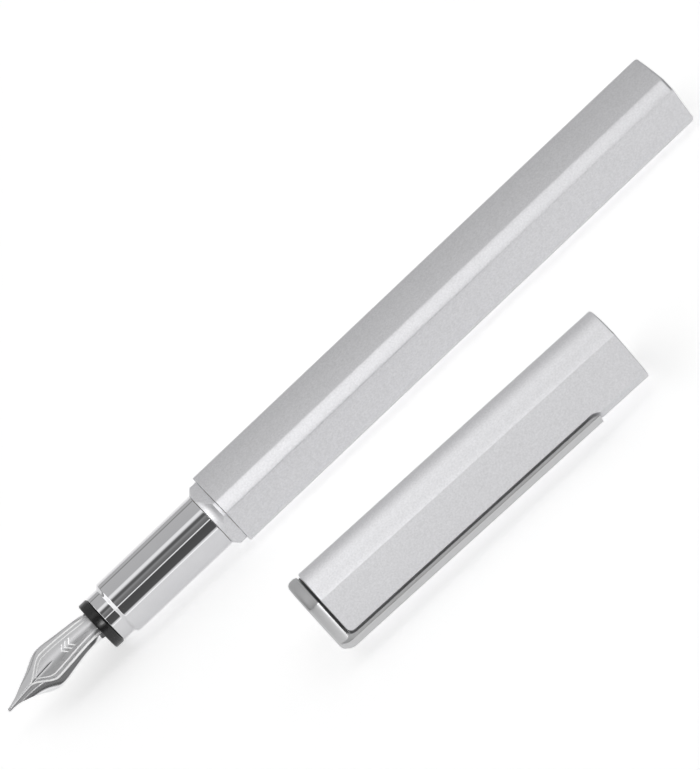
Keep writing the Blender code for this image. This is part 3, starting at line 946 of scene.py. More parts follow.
@dataclass
class Barrel(SubAssembly):
    """Four-sided barrel with its polished end disc and gasket."""

    length: float = 84.0 * MM
    flat: float = 4.8 * MM
    ridge: float = 5.8 * MM
    edge: float = 0.45 * MM
    edge_steps: int = 6
    crown: float = 0.16 * MM
    level_sides: tuple[Side, ...] = (Side.FRONT, Side.UNDER)
    crease: float = 0.14 * MM
    crease_over: float = 28.0
    bore: float = 4.03 * MM
    pocket: float = 4.47 * MM
    pocket_depth: float = 0.75 * MM
    end_depth: float = 3.0 * MM
    end_dome: float = 0.2 * MM
    dome_shares: tuple[Pair, ...] = (
        (-1.0, 1.0),
        (0.5, 0.94),
        (0.85, 0.78),
        (1.0, 0.55),
        (1.0, 0.0),
    )
    gasket_wall: float = 0.42 * MM
    gasket_length: float = 0.6 * MM

    @property
    def front(self) -> float:
        """Place of the barrel's open end."""
        return -self.length / 2

    @property
    def rear(self) -> float:
        """Place of the barrel's closed end."""
        return self.length / 2

    def build(self, aluminium: Finish, chrome: Finish, rubber: Finish) -> None:
        """Builds and dresses the barrel's pieces.

        Args:
            aluminium: finish of the barrel.
            chrome: finish of its end disc.
            rubber: finish of the gasket.
        """
        self.piece("barrel_tube", self.tube(), aluminium, Body.BARREL, ["barrel"], weighted=True)
        self.piece("barrel_end_disc", self.disc(), chrome, Body.BARREL, ["barrel_end_cap"])
        self.piece("barrel_gasket", self.gasket(), rubber, Body.SEAL, ["barrel_seal"])

    def tube(self) -> BMesh:
        """Draws the barrel's wall, outside and inside.

        Returns:
            The wall.
        """
        middle = self.flat + self.crown
        sides = FourSided(middle, self.ridge, self.crown, level=self.level_sides)
        rows = [sides.ring(self.front)]
        centre = (self.rear - self.edge, -self.edge)
        for along, inset in arc(centre, self.edge, 90.0, 0.0, self.edge_steps):
            rows.append(sides.ring(along, -inset))
        pocket_end = self.front + self.pocket_depth
        rows += [sides.circle(self.rear, self.bore), sides.circle(pocket_end, self.bore)]
        rows += [sides.circle(pocket_end, self.pocket), sides.circle(self.front, self.pocket)]
        return soften(drawn(rows + rows[:1]), self.crease, self.crease_over)

    def disc(self) -> BMesh:
        """Turns the domed disc in the barrel's closed end.

        Returns:
            The disc.
        """
        size = self.bore - SEAM
        profile = [(self.rear - self.end_depth, 0.0), (self.rear - self.end_depth, size)]
        for height, share in self.dome_shares:
            profile.append((self.rear + self.end_dome * height, size * share))
        return turned(profile, closed=False)

    def gasket(self) -> BMesh:
        """Turns the gasket behind the collar.

        Returns:
            The gasket.
        """
        inner = self.pocket - self.gasket_wall - SEAM
        front, rear = self.front + SEAM, self.front + SEAM + self.gasket_length
        outer = inner + self.gasket_wall
        shape = turned([(front, inner), (front, outer), (rear, outer), (rear, inner)])
        return soften(shape, self.gasket_wall / 4)


@dataclass
class Section(SubAssembly):
    """Collar, polished grip, threaded tail and front ring."""

    collar_front: float = -44.0 * MM
    collar_rear: float = -42.05 * MM
    collar_flat: float = 4.36 * MM
    collar_ridge: float = 5.15 * MM
    collar_crown: float = 0.02 * MM
    collar_edge: float = 0.05 * MM
    collar_steps: int = 6
    rim_inset: float = 0.03 * MM
    scoop_length: float = 1.5 * MM
    scoop_middle: float = 135.0
    scoop_half: float = 45.0
    spigot: float = 3.6 * MM
    spigot_front: float = -52.0 * MM
    spigot_gap: float = 0.2 * MM
    grip_step: float = -61.5 * MM
    grip_front_radius: float = 4.31 * MM
    grip_edge: float = 0.12 * MM
    land_front: float = -63.8 * MM
    land_radius: float = 3.8 * MM
    land_rise: float = 0.45 * MM
    front_bore: float = 3.02 * MM
    edge_over: float = 30.0
    round_steps: int = 128
    tail_radius: float = 3.95 * MM
    tail_bore: float = 2.98 * MM
    tail_front: float = -42.0 * MM
    tail_length: float = 8.0 * MM
    tail_edge: float = 0.08 * MM
    tail_edge_over: float = 40.0
    thread_pitch: float = 0.75 * MM
    thread_depth: float = 0.32 * MM
    thread_foot: float = 0.44
    thread_crest: float = 0.2
    thread_turns: int = 9
    thread_steps: int = 48
    ring_front: float = -65.35 * MM
    ring_length: float = 1.5 * MM
    ring_corner: float = 0.25 * MM
    ring_corner_steps: int = 6
    ring_radius: float = 3.85 * MM

    def build(self, aluminium: Finish, chrome: Finish, brass: Finish, rubber: Finish) -> None:
        """Builds and dresses the section's pieces.

        Args:
            aluminium: finish of the collar.
            chrome: finish of the grip.
            brass: finish of the threaded tail.
            rubber: finish of the ring before the grip.
        """
        body = Body.SECTION
        self.piece("collar", self.collar(), aluminium, body, ["collar_ring"], weighted=True)
        self.piece("grip", self.grip(), chrome, body, ["grip_section"], weighted=True)
        self.piece("threaded_tail", self.tail(), brass, body, ["thread_tail"])
        self.piece("tail_thread", self.thread(), brass, body, [])
        self.piece("front_ring", self.ring(), rubber, body, ["cap_seal_ring"])

    def collar(self) -> BMesh:
        """Draws the four-sided collar, coned off and scooped towards the grip.

        Returns:
            The collar.
        """
        sides = FourSided(self.collar_flat, self.collar_ridge, self.collar_crown)
        hole, steps = self.spigot + SEAM, self.collar_steps
        rows = [self.collar_row(sides, step / steps) for step in range(steps + 1)]
        rows += [sides.ring(self.collar_rear), sides.circle(self.collar_rear, hole)]
        rows += [sides.circle(self.collar_front, hole), rows[0]]
        return soften(drawn(rows), self.collar_edge, self.edge_over)

    def collar_row(self, sides: FourSided, share: float) -> list[Point]:
        """Gives one ring of the collar's front, between its rim and the full outline.

        Args:
            sides: the collar's outline.
            share: 0 at the rim and 1 where the outline is reached.

        Returns:
            The ring's points.
        """
        rim = self.collar_flat - self.rim_inset
        found = []
        for y, z in sides.outline():
            out, angle = math.hypot(y, z), math.atan2(z, y)
            length, rise = max(out - self.collar_flat, 0.0), share
            if abs(math.degrees(angle) % 360.0 - self.scoop_middle) < self.scoop_half:
                reach = max(out - rim, 0.0) / (self.collar_ridge - rim)
                length, rise = self.scoop_length * math.sqrt(reach), share**2
            along, size = self.collar_front + length * share, rim + (out - rim) * rise
            found.append((along, size * math.cos(angle), size * math.sin(angle)))
        return found

    def grip(self) -> BMesh:
        """Turns the grip with its step and land.

        Returns:
            The grip.
        """
        rear, rear_bore = self.collar_front - SEAM, self.spigot + SEAM
        shoulder = self.spigot_front - self.spigot_gap
        profile = [
            (self.land_front, self.front_bore),
            (self.land_front, self.land_radius),
            (self.grip_step - self.land_rise, self.land_radius),
            (self.grip_step, self.grip_front_radius),
            (rear, self.collar_flat),
            (rear, rear_bore),
            (shoulder, rear_bore),
            (shoulder, self.front_bore),
        ]
        shape = turned(profile, self.round_steps)
        return soften(shape, self.grip_edge, self.edge_over, segments=4)

    def tail(self) -> BMesh:
        """Turns the plain core of the tail.

        Returns:
            The core.
        """
        root = self.tail_radius - self.thread_depth
        rear = self.tail_front + self.tail_length
        profile = [
            (self.spigot_front, self.tail_bore),
            (self.spigot_front, self.spigot),
            (self.tail_front, self.spigot),
            (self.tail_front, root),
            (rear, root),
            (rear, self.tail_bore),
        ]
        return soften(turned(profile), self.tail_edge, self.tail_edge_over)

    def thread(self) -> BMesh:
        """Spins the tail's thread as a coil.

        Returns:
            The thread.
        """
        root = self.tail_radius - self.thread_depth - SEAM
        half = self.thread_pitch * self.thread_foot
        crest = half * self.thread_crest
        first = self.tail_front + self.thread_pitch
        shape = bmesh.new()
        profile = [(first - half, root), (first - crest, self.tail_radius)]
        profile += [(first + crest, self.tail_radius), (first + half, root)]
        points, lines = line_of(shape, [(x, 0.0, radius) for x, radius in profile])
        bmesh.ops.spin(
            shape,
            geom=points + lines,
            cent=(0.0, 0.0, 0.0),
            axis=(1.0, 0.0, 0.0),
            dvec=(self.thread_pitch / self.thread_steps, 0.0, 0.0),
            angle=math.tau * self.thread_turns,
            steps=self.thread_steps * self.thread_turns,
        )
        close_ends(shape)
        bmesh.ops.recalc_face_normals(shape, faces=shape.faces)
        return shape

    def ring(self) -> BMesh:
        """Turns the squarish ring that the cap closes on.

        Returns:
            The ring.
        """
        corner, steps = self.ring_corner, self.ring_corner_steps
        rear, out = self.ring_front + self.ring_length, self.ring_radius - self.ring_corner
        profile = [(self.ring_front, self.front_bore), (rear, self.front_bore)]
        profile += arc((rear - corner, out), corner, 0.0, 90.0, steps)
        profile += arc((self.ring_front + corner, out), corner, 90.0, 180.0, steps)
        return turned(profile, self.round_steps)


@dataclass
class NibUnit(SubAssembly):
    """Nib, its point, the feed under it and their housing.

    Stations along the nib are shares of its length, and their values shares of its radius.
    """

    tip: float = -81.85 * MM
    length: float = 16.5 * MM
    tail: float = 5.0 * MM
    radius: float = 2.6 * MM
    thickness: float = 0.24 * MM
    edge: float = 0.04 * MM
    edge_over: float = math.radians(50.0)
    slit: float = 0.1 * MM
    slit_length: float = 9.0 * MM
    tip_rise: float = 0.2 * MM
    hump: float = 0.6 * MM
    roll: float = math.radians(27.0)
    columns: int = 12
    steps: int = 56
    point_size: Point = (0.42 * MM, 0.24 * MM, 0.26 * MM)
    point_place: float = 0.32 * MM
    point_drop: float = 0.8
    feed_half: float = 1.3 * MM
    feed_shoulder: float = 0.3 * MM
    feed_tail: float = 8.0 * MM
    feed_nose: tuple[float, ...] = (0.27, 0.31, 0.36, 0.42, 0.48, 0.53)
    feed_top_steps: int = 16
    feed_belly_steps: int = 18
    fins: int = 11
    fin_ends: Pair = (0.56, 0.96)
    fin_depth: float = 0.24
    fin_slope: float = 0.05
    fin_gap: float = 0.5
    housing_front: float = -65.35 * MM
    housing_rear: float = -53.35 * MM
    housing_radius: float = 2.97 * MM
    housing_bore: float = 2.65 * MM
    housing_end: float = 2.0 * MM
    housing_edge: float = 0.06 * MM
    housing_steps: int = 64
    nipple_radius: float = 1.2 * MM
    nipple_length: float = 5.0 * MM
    ink_hole: float = 0.6 * MM
    bulge: tuple[Pair, ...] = (
        (0.0, 0.6),
        (0.22, 0.85),
        (0.35, 1.25),
        (0.5, 2.1),
        (0.68, 1.75),
        (0.88, 1.5),
        (1.0, 1.0),
    )
    width: tuple[Pair, ...] = (
        (0.0, 0.09),
        (0.06, 0.14),
        (0.12, 0.23),
        (0.21, 0.47),
        (0.3, 0.73),
        (0.37, 0.99),
        (0.44, 1.18),
        (0.52, 1.22),
        (0.64, 1.12),
        (0.82, 0.95),
        (1.0, 0.88),
    )
    feed_width: tuple[Pair, ...] = ((0.25, 0.35), (0.4, 0.75), (0.6, 1.0), (1.0, 1.0))
    feed_depth: tuple[Pair, ...] = ((0.25, -0.05), (0.4, 0.2), (0.6, 0.42), (1.0, 0.48))

    def build(self, steel: Finish, plastic: Finish) -> None:
        """Builds and dresses the nib unit's pieces.

        Args:
            steel: finish of the nib.
            plastic: finish of the feed and housing.
        """
        nib = self.piece("nib_blade", self.blade(), steel, Body.SECTION, ["nib"])
        wall = nib.modifiers.new("wall", "SOLIDIFY")
        wall.thickness = self.thickness
        wall.offset = -1.0
        edge = nib.modifiers.new("edge", "BEVEL")
        edge.width = self.edge
        edge.segments = 2
        edge.limit_method = "ANGLE"
        edge.angle_limit = self.edge_over
        weigh_normals(nib)
        self.piece("nib_point", self.point(), steel, Body.SECTION, [])
        self.piece("ink_feed", self.feed(), plastic, Body.SECTION, ["feed"])
        self.piece("nib_sleeve", self.sleeve(), plastic, Body.SECTION, ["nib_housing"])

    def section(self, place: float) -> tuple[float, float, float]:
        """Gives the nib's cross-section at a distance from its tip.

        Args:
            place: the distance.

        Returns:
            Radius of its arc, half the angle that the arc spans, and height of its centre.
        """
        share = min(place / self.length, 1.0)
        radius = self.radius * eased(self.bulge, share)
        half = self.radius * eased(self.width, share)
        rise = math.sin(math.pi / 2 * share)
        hump = self.hump * math.sin(math.pi * share)
        top = self.tip_rise + (self.radius - self.tip_rise) * rise + hump
        return radius, math.asin(half / radius), top - radius

    def blade_row(self, place: float) -> list[Point]:
        """Gives one row of half the nib's sheet, from its middle out.

        Args:
            place: distance from the nib's tip.

        Returns:
            The row's points.
        """
        radius, half, centre = self.section(place)
        open_slit = self.slit / 2 if place < self.slit_length else 0.0
        first = math.asin(open_slit / radius)
        found = []
        for column in range(self.columns + 1):
            angle = first + (half - first) * column / self.columns
            across, up = radius * math.sin(angle), centre + radius * math.cos(angle)
            found.append((self.tip + place, across, up))
        return found

    def blade(self) -> BMesh:
        """Draws one half of the nib's sheet and mirrors it.

        Returns:
            The sheet.
        """
        reach = self.length + self.tail
        places = [reach * step / self.steps for step in range(self.steps + 1)]
        near = min(range(self.steps), key=lambda step: abs(places[step] - self.slit_length))
        places[near] = self.slit_length
        shape = drawn([self.blade_row(place) for place in places], looped=False)
        sheet = shape.verts[:] + shape.edges[:] + shape.faces[:]
        bmesh.ops.mirror(shape, geom=sheet, axis="Y", merge_dist=TINY)
        bmesh.ops.remove_doubles(shape, verts=shape.verts, dist=TINY)
        bmesh.ops.recalc_face_normals(shape, faces=shape.faces)
        top = max(shape.faces, key=lambda face: face.calc_center_median().z)
        if top.normal.z < 0.0:
            bmesh.ops.reverse_faces(shape, faces=shape.faces)
        return rolled(shape, self.roll)

    def point(self) -> BMesh:
        """Shapes the hard point under the nib's tip.

        Returns:
            The point.
        """
        shape = bmesh.new()
        bmesh.ops.create_icosphere(shape, subdivisions=3, radius=1.0)
        bmesh.ops.scale(shape, verts=shape.verts, vec=self.point_size)
        height = self.tip_rise - self.thickness * self.point_drop
        place = (self.tip + self.point_place, 0.0, height)
        bmesh.ops.translate(shape, verts=shape.verts, vec=place)
        return rolled(shape, self.roll)

    def feed_ring(self, place: float, half: float, depth: float) -> list[Point]:
        """Gives the feed's outline under the nib.

        Args:
            place: distance from the nib's tip.
            half: half of the feed's width.
            depth: how far the feed hangs below the axis.

        Returns:
            The outline's points.
        """
        radius, _, centre = self.section(place)
        size = radius - self.thickness - SEAM
        angle = math.asin(min(half / size, 1.0))
        found = []
        for step in range(self.feed_top_steps + 1):
            turn = angle * (1 - 2 * step / self.feed_top_steps)
            found.append((-size * math.sin(turn), centre + size * math.cos(turn)))
        edge = found[-1]
        for step in range(1, self.feed_belly_steps):
            turn = math.pi * step / self.feed_belly_steps
            drop = (edge[1] + depth) * math.sin(turn)
            found.append((edge[0] * math.cos(turn), edge[1] - drop))
        return [(self.tip + place, y, z) for y, z in found]

    def feed(self) -> BMesh:
        """Draws the feed with its fins.

        Returns:
            The feed.
        """
        body = self.radius - self.thickness - SEAM
        first, last = (self.length * share for share in self.fin_ends)
        pitch, cut = (last - first) / self.fins, body * self.fin_depth
        places = [(self.length * share, 0.0) for share in self.feed_nose]
        for fin in range(self.fins):
            start = first + pitch * fin
            end = start + pitch * self.fin_gap
            slope = pitch * self.fin_slope
            places += [(start, 0.0), (start + slope, cut), (end, cut), (end + slope, 0.0)]
        places.append((self.length, 0.0))
        rows = []
        for place, gap in places:
            share = place / self.length
            half = self.feed_half * eased(self.feed_width, share)
            rows.append(self.feed_ring(place, half, body * eased(self.feed_depth, share) - gap))
        for place in (self.length + self.feed_shoulder, self.length + self.feed_tail):
            rows.append(self.feed_ring(place, body, body))
        return rolled(drawn(rows, capped=True), self.roll)

    def sleeve(self) -> BMesh:
        """Turns the housing with the nipple that the converter is pushed on.

        Returns:
            The housing.
        """
        wall = self.housing_rear - self.housing_end
        nipple_end = self.housing_rear + self.nipple_length
        profile = [
            (self.housing_front, self.housing_bore),
            (self.housing_front, self.housing_radius),
            (self.housing_rear, self.housing_radius),
            (self.housing_rear, self.nipple_radius),
            (nipple_end, self.nipple_radius),
            (nipple_end, self.ink_hole),
            (wall, self.ink_hole),
            (wall, self.housing_bore),
        ]
        return soften(turned(profile, self.housing_steps), self.housing_edge)


@dataclass
class Converter(SubAssembly):
    """Screw piston converter inside the barrel."""

    mouth_front: float = -53.1 * MM
    socket: float = 1.25 * MM
    socket_end: float = -48.15 * MM
    ink_hole: float = 0.6 * MM
    tube_front: float = -45.1 * MM
    tube_rear: float = -9.1 * MM
    tube_radius: float = 2.9 * MM
    tube_bore: float = 2.5 * MM
    tube_steps: int = 64
    edge: float = 0.08 * MM
    fine_edge: float = 0.05 * MM
    plug: float = 2.0 * MM
    ferrule_front: float = -13.1 * MM
    ferrule_rear: float = 8.9 * MM
    ferrule_radius: float = 3.35 * MM
    ferrule_bore: float = 2.95 * MM
    ferrule_lip: float = 0.2 * MM
    ferrule_grooves: Pair = (0.12, 0.88)
    groove_depth: float = 0.14 * MM
    groove_steps: int = 6
    ferrule_edge_over: float = 50.0
    knob_length: float = 10.0 * MM
    knob_shank: float = 2.87 * MM
    knob_round: float = 0.4 * MM
    knob_round_share: float = 0.3
    knob_middle: float = 0.02 * MM
    flutes: int = 24
    flute_depth: float = 0.2 * MM
    flute_steps: int = 6
    piston_front: float = -17.1 * MM
    piston_rear: float = -11.1 * MM
    seal_height: float = 0.35 * MM
    seal_width: float = 1.1 * MM
    seal_crest: Pair = (0.35, 0.65)
    rod_radius: float = 1.1 * MM
    rod_rear: float = 14.9 * MM
    rod_pitch: float = 0.8 * MM
    rod_depth: float = 0.14 * MM
    rod_steps: int = 40
    rod_ring: tuple[Pair, ...] = ((0.0, 1.0), (0.3, 0.0), (0.5, 0.0), (0.8, 1.0))

    def build(self, plastic: Finish, clear: Finish, steel: Finish, rubber: Finish) -> None:
        """Builds and dresses the converter's pieces.

        Args:
            plastic: finish of the mouth, knob and piston.
            clear: finish of the ink tube.
            steel: finish of the ferrule and rod.
            rubber: finish of the piston's seals.
        """
        self.piece("converter_socket", self.mouth(), plastic, Body.SECTION, ["converter_mouth"])
        self.piece("ink_tube", self.tube(), clear, Body.SECTION, ["converter_tube"])
        self.piece("ferrule", self.ferrule(), steel, Body.SECTION, ["converter_ferrule"])
        self.piece("twist_knob", self.knob(), plastic, Body.KNOB, ["converter_knob"])
        self.piece("piston_core", self.piston(), plastic, Body.PISTON, ["piston_head"])
        for name, groove in zip(("front", "rear"), self.grooves()):
            seal = self.seal(groove)
            self.piece(f"piston_lip_{name}", seal, rubber, Body.PISTON, [f"piston_seal_{name}"])
        self.piece("screw_rod", self.rod(), steel, Body.PISTON, ["piston_rod"])

    @property
    def piston_core(self) -> float:
        """Radius of the piston between its seals."""
        return self.tube_bore - RUNNING_FIT - self.seal_height

    def mouth(self) -> BMesh:
        """Turns the socket that is pushed on the nipple.

        Returns:
            The socket.
        """
        stem, flange = self.tube_bore - SEAM, self.tube_front - self.plug / 2
        profile = [
            (self.mouth_front, self.socket),
            (self.mouth_front, stem),
            (flange, stem),
            (flange, self.tube_radius),
            (self.tube_front - SEAM, self.tube_radius),
            (self.tube_front - SEAM, stem),
            (self.tube_front + self.plug, stem),
            (self.tube_front + self.plug, self.ink_hole),
            (self.socket_end, self.ink_hole),
            (self.socket_end, self.socket),
        ]
        return soften(turned(profile, self.tube_steps), self.edge)

    def tube(self) -> BMesh:
        """Turns the clear ink tube.

        Returns:
            The tube.
        """
        front, rear = self.tube_front, self.tube_rear
        profile = [(front, self.tube_bore), (front, self.tube_radius)]
        profile += [(rear, self.tube_radius), (rear, self.tube_bore)]
        return soften(turned(profile, self.tube_steps), self.edge)

    def ferrule(self) -> BMesh:
        """Turns the ferrule with two rolled rings.

        Returns:
            The ferrule.
        """
        front, rear, out = self.ferrule_front, self.ferrule_rear, self.ferrule_radius
        profile = [(front, self.ferrule_bore), (front, out - self.ferrule_lip)]
        profile += [(front + self.ferrule_lip, out)]
        for share in self.ferrule_grooves:
            centre = (front + (rear - front) * share, out)
            profile += arc(centre, self.groove_depth, 180.0, 360.0, self.groove_steps)
        profile += [(rear, out), (rear, self.ferrule_bore)]
        return soften(turned(profile), self.fine_edge, self.ferrule_edge_over)

    def knob_ring(self, x: float, radius: float, flute: float = 0.0) -> list[Point]:
        """Gives a ring of the knob.

        Args:
            x: its place.
            radius: its radius on the crests.
            flute: depth of its flutes.

        Returns:
            The ring's points.
        """
        count = self.flutes * self.flute_steps
        found = []
        for step in range(count):
            angle = math.tau * step / count
            wave = (1 - math.cos(angle * self.flutes)) / 2
            size = radius - flute * wave
            found.append((x, size * math.cos(angle), size * math.sin(angle)))
        return found

    def knob(self) -> BMesh:
        """Draws the fluted knob with its shank and blind hole.

        Returns:
            The knob.
        """
        front = self.ferrule_rear + RUNNING_FIT
        rear = front + self.knob_length
        shank_front = self.tube_rear + self.plug
        hole, hole_end = self.rod_radius + RUNNING_FIT, rear - self.knob_length / 5
        out, deep, round_off = self.ferrule_radius, self.flute_depth, self.knob_round
        rings = [
            (hole_end, self.knob_middle),
            (hole_end, hole),
            (shank_front, hole),
            (shank_front, self.knob_shank),
            (front, self.knob_shank),
            (front, out - deep),
            (front + deep, out),
            (front + 3 * deep, out),
            (front + 4 * deep, out, deep),
            (rear - 2 * round_off, out, deep),
            (rear - round_off, out, deep / 2),
            (rear - round_off * self.knob_round_share, out - deep),
            (rear, out - round_off - deep),
            (rear, self.knob_middle),
        ]
        return drawn([self.knob_ring(*ring) for ring in rings], capped=True)

    def grooves(self) -> Pair:
        """Gives the places of the piston's two grooves."""
        ends = (self.piston_rear - self.piston_front) / 8
        return self.piston_front + ends, self.piston_rear - ends - self.seal_width

    def piston(self) -> BMesh:
        """Turns the piston with its two grooves.

        Returns:
            The piston.
        """
        core, neck = self.piston_core, self.piston_core - self.seal_height
        profile = [(self.piston_front, 0.0), (self.piston_front, core)]
        for groove in self.grooves():
            end = groove + self.seal_width
            profile += [(groove, core), (groove, neck), (end, neck), (end, core)]
        profile += [(self.piston_rear, core), (self.piston_rear, 0.0)]
        return soften(turned(profile, self.tube_steps, closed=False), self.fine_edge)

    def seal(self, groove: float) -> BMesh:
        """Turns one of the piston's lip seals.

        Args:
            groove: place of its groove.

        Returns:
            The seal.
        """
        core, neck = self.piston_core, self.piston_core - self.seal_height
        front, rear = groove + SEAM, groove + self.seal_width - SEAM
        profile = [(front, neck + SEAM), (front, core)]
        for share in self.seal_crest:
            place = front * (1 - share) + rear * share
            profile.append((place, self.tube_bore - RUNNING_FIT))
        profile += [(rear, core), (rear, neck + SEAM)]
        return soften(turned(profile, self.tube_steps), self.edge)

    def rod(self) -> BMesh:
        """Turns the rod with its shallow screw rings.

        Returns:
            The rod.
        """
        front, root = self.piston_rear + SEAM, self.rod_radius - self.rod_depth
        profile = [(front, 0.0), (front, root)]
        place = front + self.rod_pitch
        while place < self.rod_rear - self.rod_pitch:
            for share, drop in self.rod_ring:
                radius = self.rod_radius - self.rod_depth * drop
                profile.append((place + self.rod_pitch * share, radius))
            place += self.rod_pitch
        profile += [(self.rod_rear, root), (self.rod_rear, 0.0)]
        return turned(profile, self.rod_steps, closed=False)


@dataclass
class Cap(SubAssembly):
    """Loose cap with its inner cap, end plate, pocket clip and screw."""

    length: float = 52.05 * MM
    flat: float = 4.9 * MM
    ridge: float = 5.9 * MM
    edge: float = 0.25 * MM
    edge_steps: int = 4
    crown: float = 0.08 * MM
    crease: float = 0.14 * MM
    crease_over: float = 28.0
    fine_edge: float = 0.05 * MM
    clip_sides: tuple[Side, ...] = (Side.FRONT, Side.UNDER)
    end_wall: float = 1.6 * MM
    bore: float = 4.49 * MM
    pocket_flat: float = 4.44 * MM
    pocket_ridge: float = 5.23 * MM
    pocket_depth: float = 2.05 * MM
    inner_floor: float = 9.2 * MM
    inner_front: float = 32.05 * MM
    inner_wall: float = 0.54 * MM
    inner_base: float = 1.0 * MM
    inner_edge: float = 0.1 * MM
    seat_height: float = 5.4 * MM
    seat_corner: float = 0.85 * MM
    seat_corner_steps: int = 10
    seat_end: float = 44.65 * MM
    seat_run_out: float = 2.0 * MM
    seat_steps: int = 12
    seat_rise: float = 0.55 * MM
    seat_half: float = 3.43 * MM
    seat_above: float = 8.26 * MM
    seat_beyond: float = 1.0 * MM
    clip_angle: float = math.radians(135.0)
    clip_inner: float = 5.65 * MM
    clip_outer: float = 6.25 * MM
    clip_width: float = 2.4 * MM
    clip_corner: float = 0.16 * MM
    clip_corner_share: float = 0.45
    clip_corner_steps: int = 4
    clip_split: float = 2.45 * MM
    clip_bend_half: float = 1.0 * MM
    clip_tip: float = 43.65 * MM
    clip_slant: float = 1.45 * MM
    slant_shares: tuple[Pair, ...] = ((0.25, 0.05), (0.5, 0.2), (0.75, 0.48), (0.92, 0.78))
    clip_steps: int = 12
    fold_height: float = 3.675 * MM
    fold_insets: Pair = (0.2 * MM, 0.02 * MM)
    bend: float = 1.8 * MM
    plate_outer: float = -2.15 * MM
    plate_inner: float = -0.35 * MM
    plate_round: float = 0.85 * MM
    plate_round_steps: int = 8
    plate_bevel: Pair = (0.4 * MM, 0.18 * MM)
    plate_edge_over: float = 30.0
    spacer_inset: float = 0.45 * MM
    spacer_reach: float = 3.8 * MM
    screw_radius: float = 1.0 * MM
    screw_reach: float = 0.99 * MM
    screw_head: float = 2.0 * MM
    screw_head_length: float = 1.5 * MM
    screw_bevel: Pair = (0.4 * MM, 0.3 * MM)
    screw_slot: float = 0.5 * MM
    screw_steps: int = 48

    @classmethod
    def beside_pen(cls, joints: Sequence[dict]) -> "Cap":
        """Finds the cap's own axis from its joints.

        Args:
            joints: the record's joints.

        Returns:
            The cap, with X along it from its closed end.
        """
        named = {joint["name"]: joint for joint in joints}
        along = -Vector(named["cap_slide"]["axis"]).normalized()
        side = -Vector(named["clip_flex"]["axis"]).normalized()
        out = along.cross(side)
        height = (cls.clip_inner + cls.clip_outer) / 2
        origin = Vector(named["clip_flex"]["pos_m"]) - along * cls.clip_split - out * height
        turn = Matrix((along, side, out)).transposed().to_4x4()
        roll = Matrix.Rotation(-cls.clip_angle, 4, "X")
        return cls(Matrix.Translation(origin) @ turn @ roll)

    def build(
        self,
        aluminium: Finish,
        steel: Finish,
        plastic: Finish,
        brass: Finish,
    ) -> None:
        """Builds and dresses the cap's pieces.

        Args:
            aluminium: finish of the shell.
            steel: finish of the plate and clip.
            plastic: finish of the inner cap and spacer.
            brass: finish of the screw.
        """
        turn = self.axis @ Matrix.Rotation(self.clip_angle, 4, "X")
        shell = self.piece("cap_tube", self.shell(), aluminium, Body.CAP, ["cap_shell"])
        carve(shell, self.seat(), turn)
        weigh_normals(shell)
        self.piece("nib_cup", self.cup(), plastic, Body.CAP, ["inner_cap"])
        self.piece("end_plate", self.plate(), steel, Body.CAP, ["cap_end_plate"], weighted=True)
        clip = self.piece("pocket_clip", self.strip(), steel, None, ["clip_arm"], weighted=True)
        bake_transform(clip)
        self.piece("plate_spacer", self.spacer(), plastic, Body.CAP, ["clip_spacer"])
        screw = self.piece("plate_screw", self.screw(), brass, Body.CAP, ["clip_screw"])
        carve(screw, self.slot(), self.axis)

    def sides(self) -> FourSided:
        """Gives the cap's outline, round but for the flats beside the clip."""
        return FourSided(self.flat, self.ridge, self.crown, self.clip_sides)

    def shell(self) -> BMesh:
        """Draws the cap's wall, outside and inside.

        Returns:
            The wall.
        """
        sides = self.sides()
        pocket = FourSided(self.pocket_flat, self.pocket_ridge)
        hole, pocket_end = self.screw_radius + SEAM, self.length - self.pocket_depth
        line = arc((self.edge, -self.edge), self.edge, 180.0, 90.0, self.edge_steps)
        rim = (self.length - self.edge, -self.edge)
        line += arc(rim, self.edge, 90.0, 0.0, self.edge_steps)
        rows = [sides.ring(along, -inset) for along, inset in line]
        rows += [pocket.ring(self.length), pocket.ring(pocket_end)]
        rows += [sides.circle(pocket_end, self.bore), sides.circle(self.end_wall, self.bore)]
        rows += [sides.circle(self.end_wall, hole), sides.circle(0.0, hole), rows[0]]
        return soften(drawn(rows), self.crease, self.crease_over)

    def seat(self) -> BMesh:
        """Draws the hollow that the clip lies in, for cutting.

        Returns:
            The hollow.
        """
        corner = (self.seat_corner, self.seat_height - self.seat_corner)
        line = [(-self.seat_beyond, self.seat_above), (-self.seat_beyond, corner[1])]
        line += arc(corner, self.seat_corner, 180.0, 90.0, self.seat_corner_steps)
        for step in range(self.seat_steps + 1):
            share = step / self.seat_steps
            rise = self.seat_rise * (1 - math.cos(math.pi * share)) / 2
            along = self.seat_end - self.seat_run_out * (1 - share)
            line.append((along, self.seat_height + rise))
        line.append((self.seat_end, self.seat_above))
        sides = (-self.seat_half, self.seat_half)
        return drawn([[(x, side, z) for x, z in line] for side in sides], capped=True)

    def cup(self) -> BMesh:
        """Turns the inner cap that keeps the nib wet.

        Returns:
            The inner cap.
        """
        outer = self.bore - SEAM
        inner, floor = outer - self.inner_wall, self.inner_floor + self.inner_base
        profile = [(self.inner_floor, 0.0), (self.inner_floor, outer), (self.inner_front, outer)]
        profile += [(self.inner_front, inner), (floor, inner), (floor, 0.0)]
        return soften(turned(profile, closed=False), self.inner_edge)

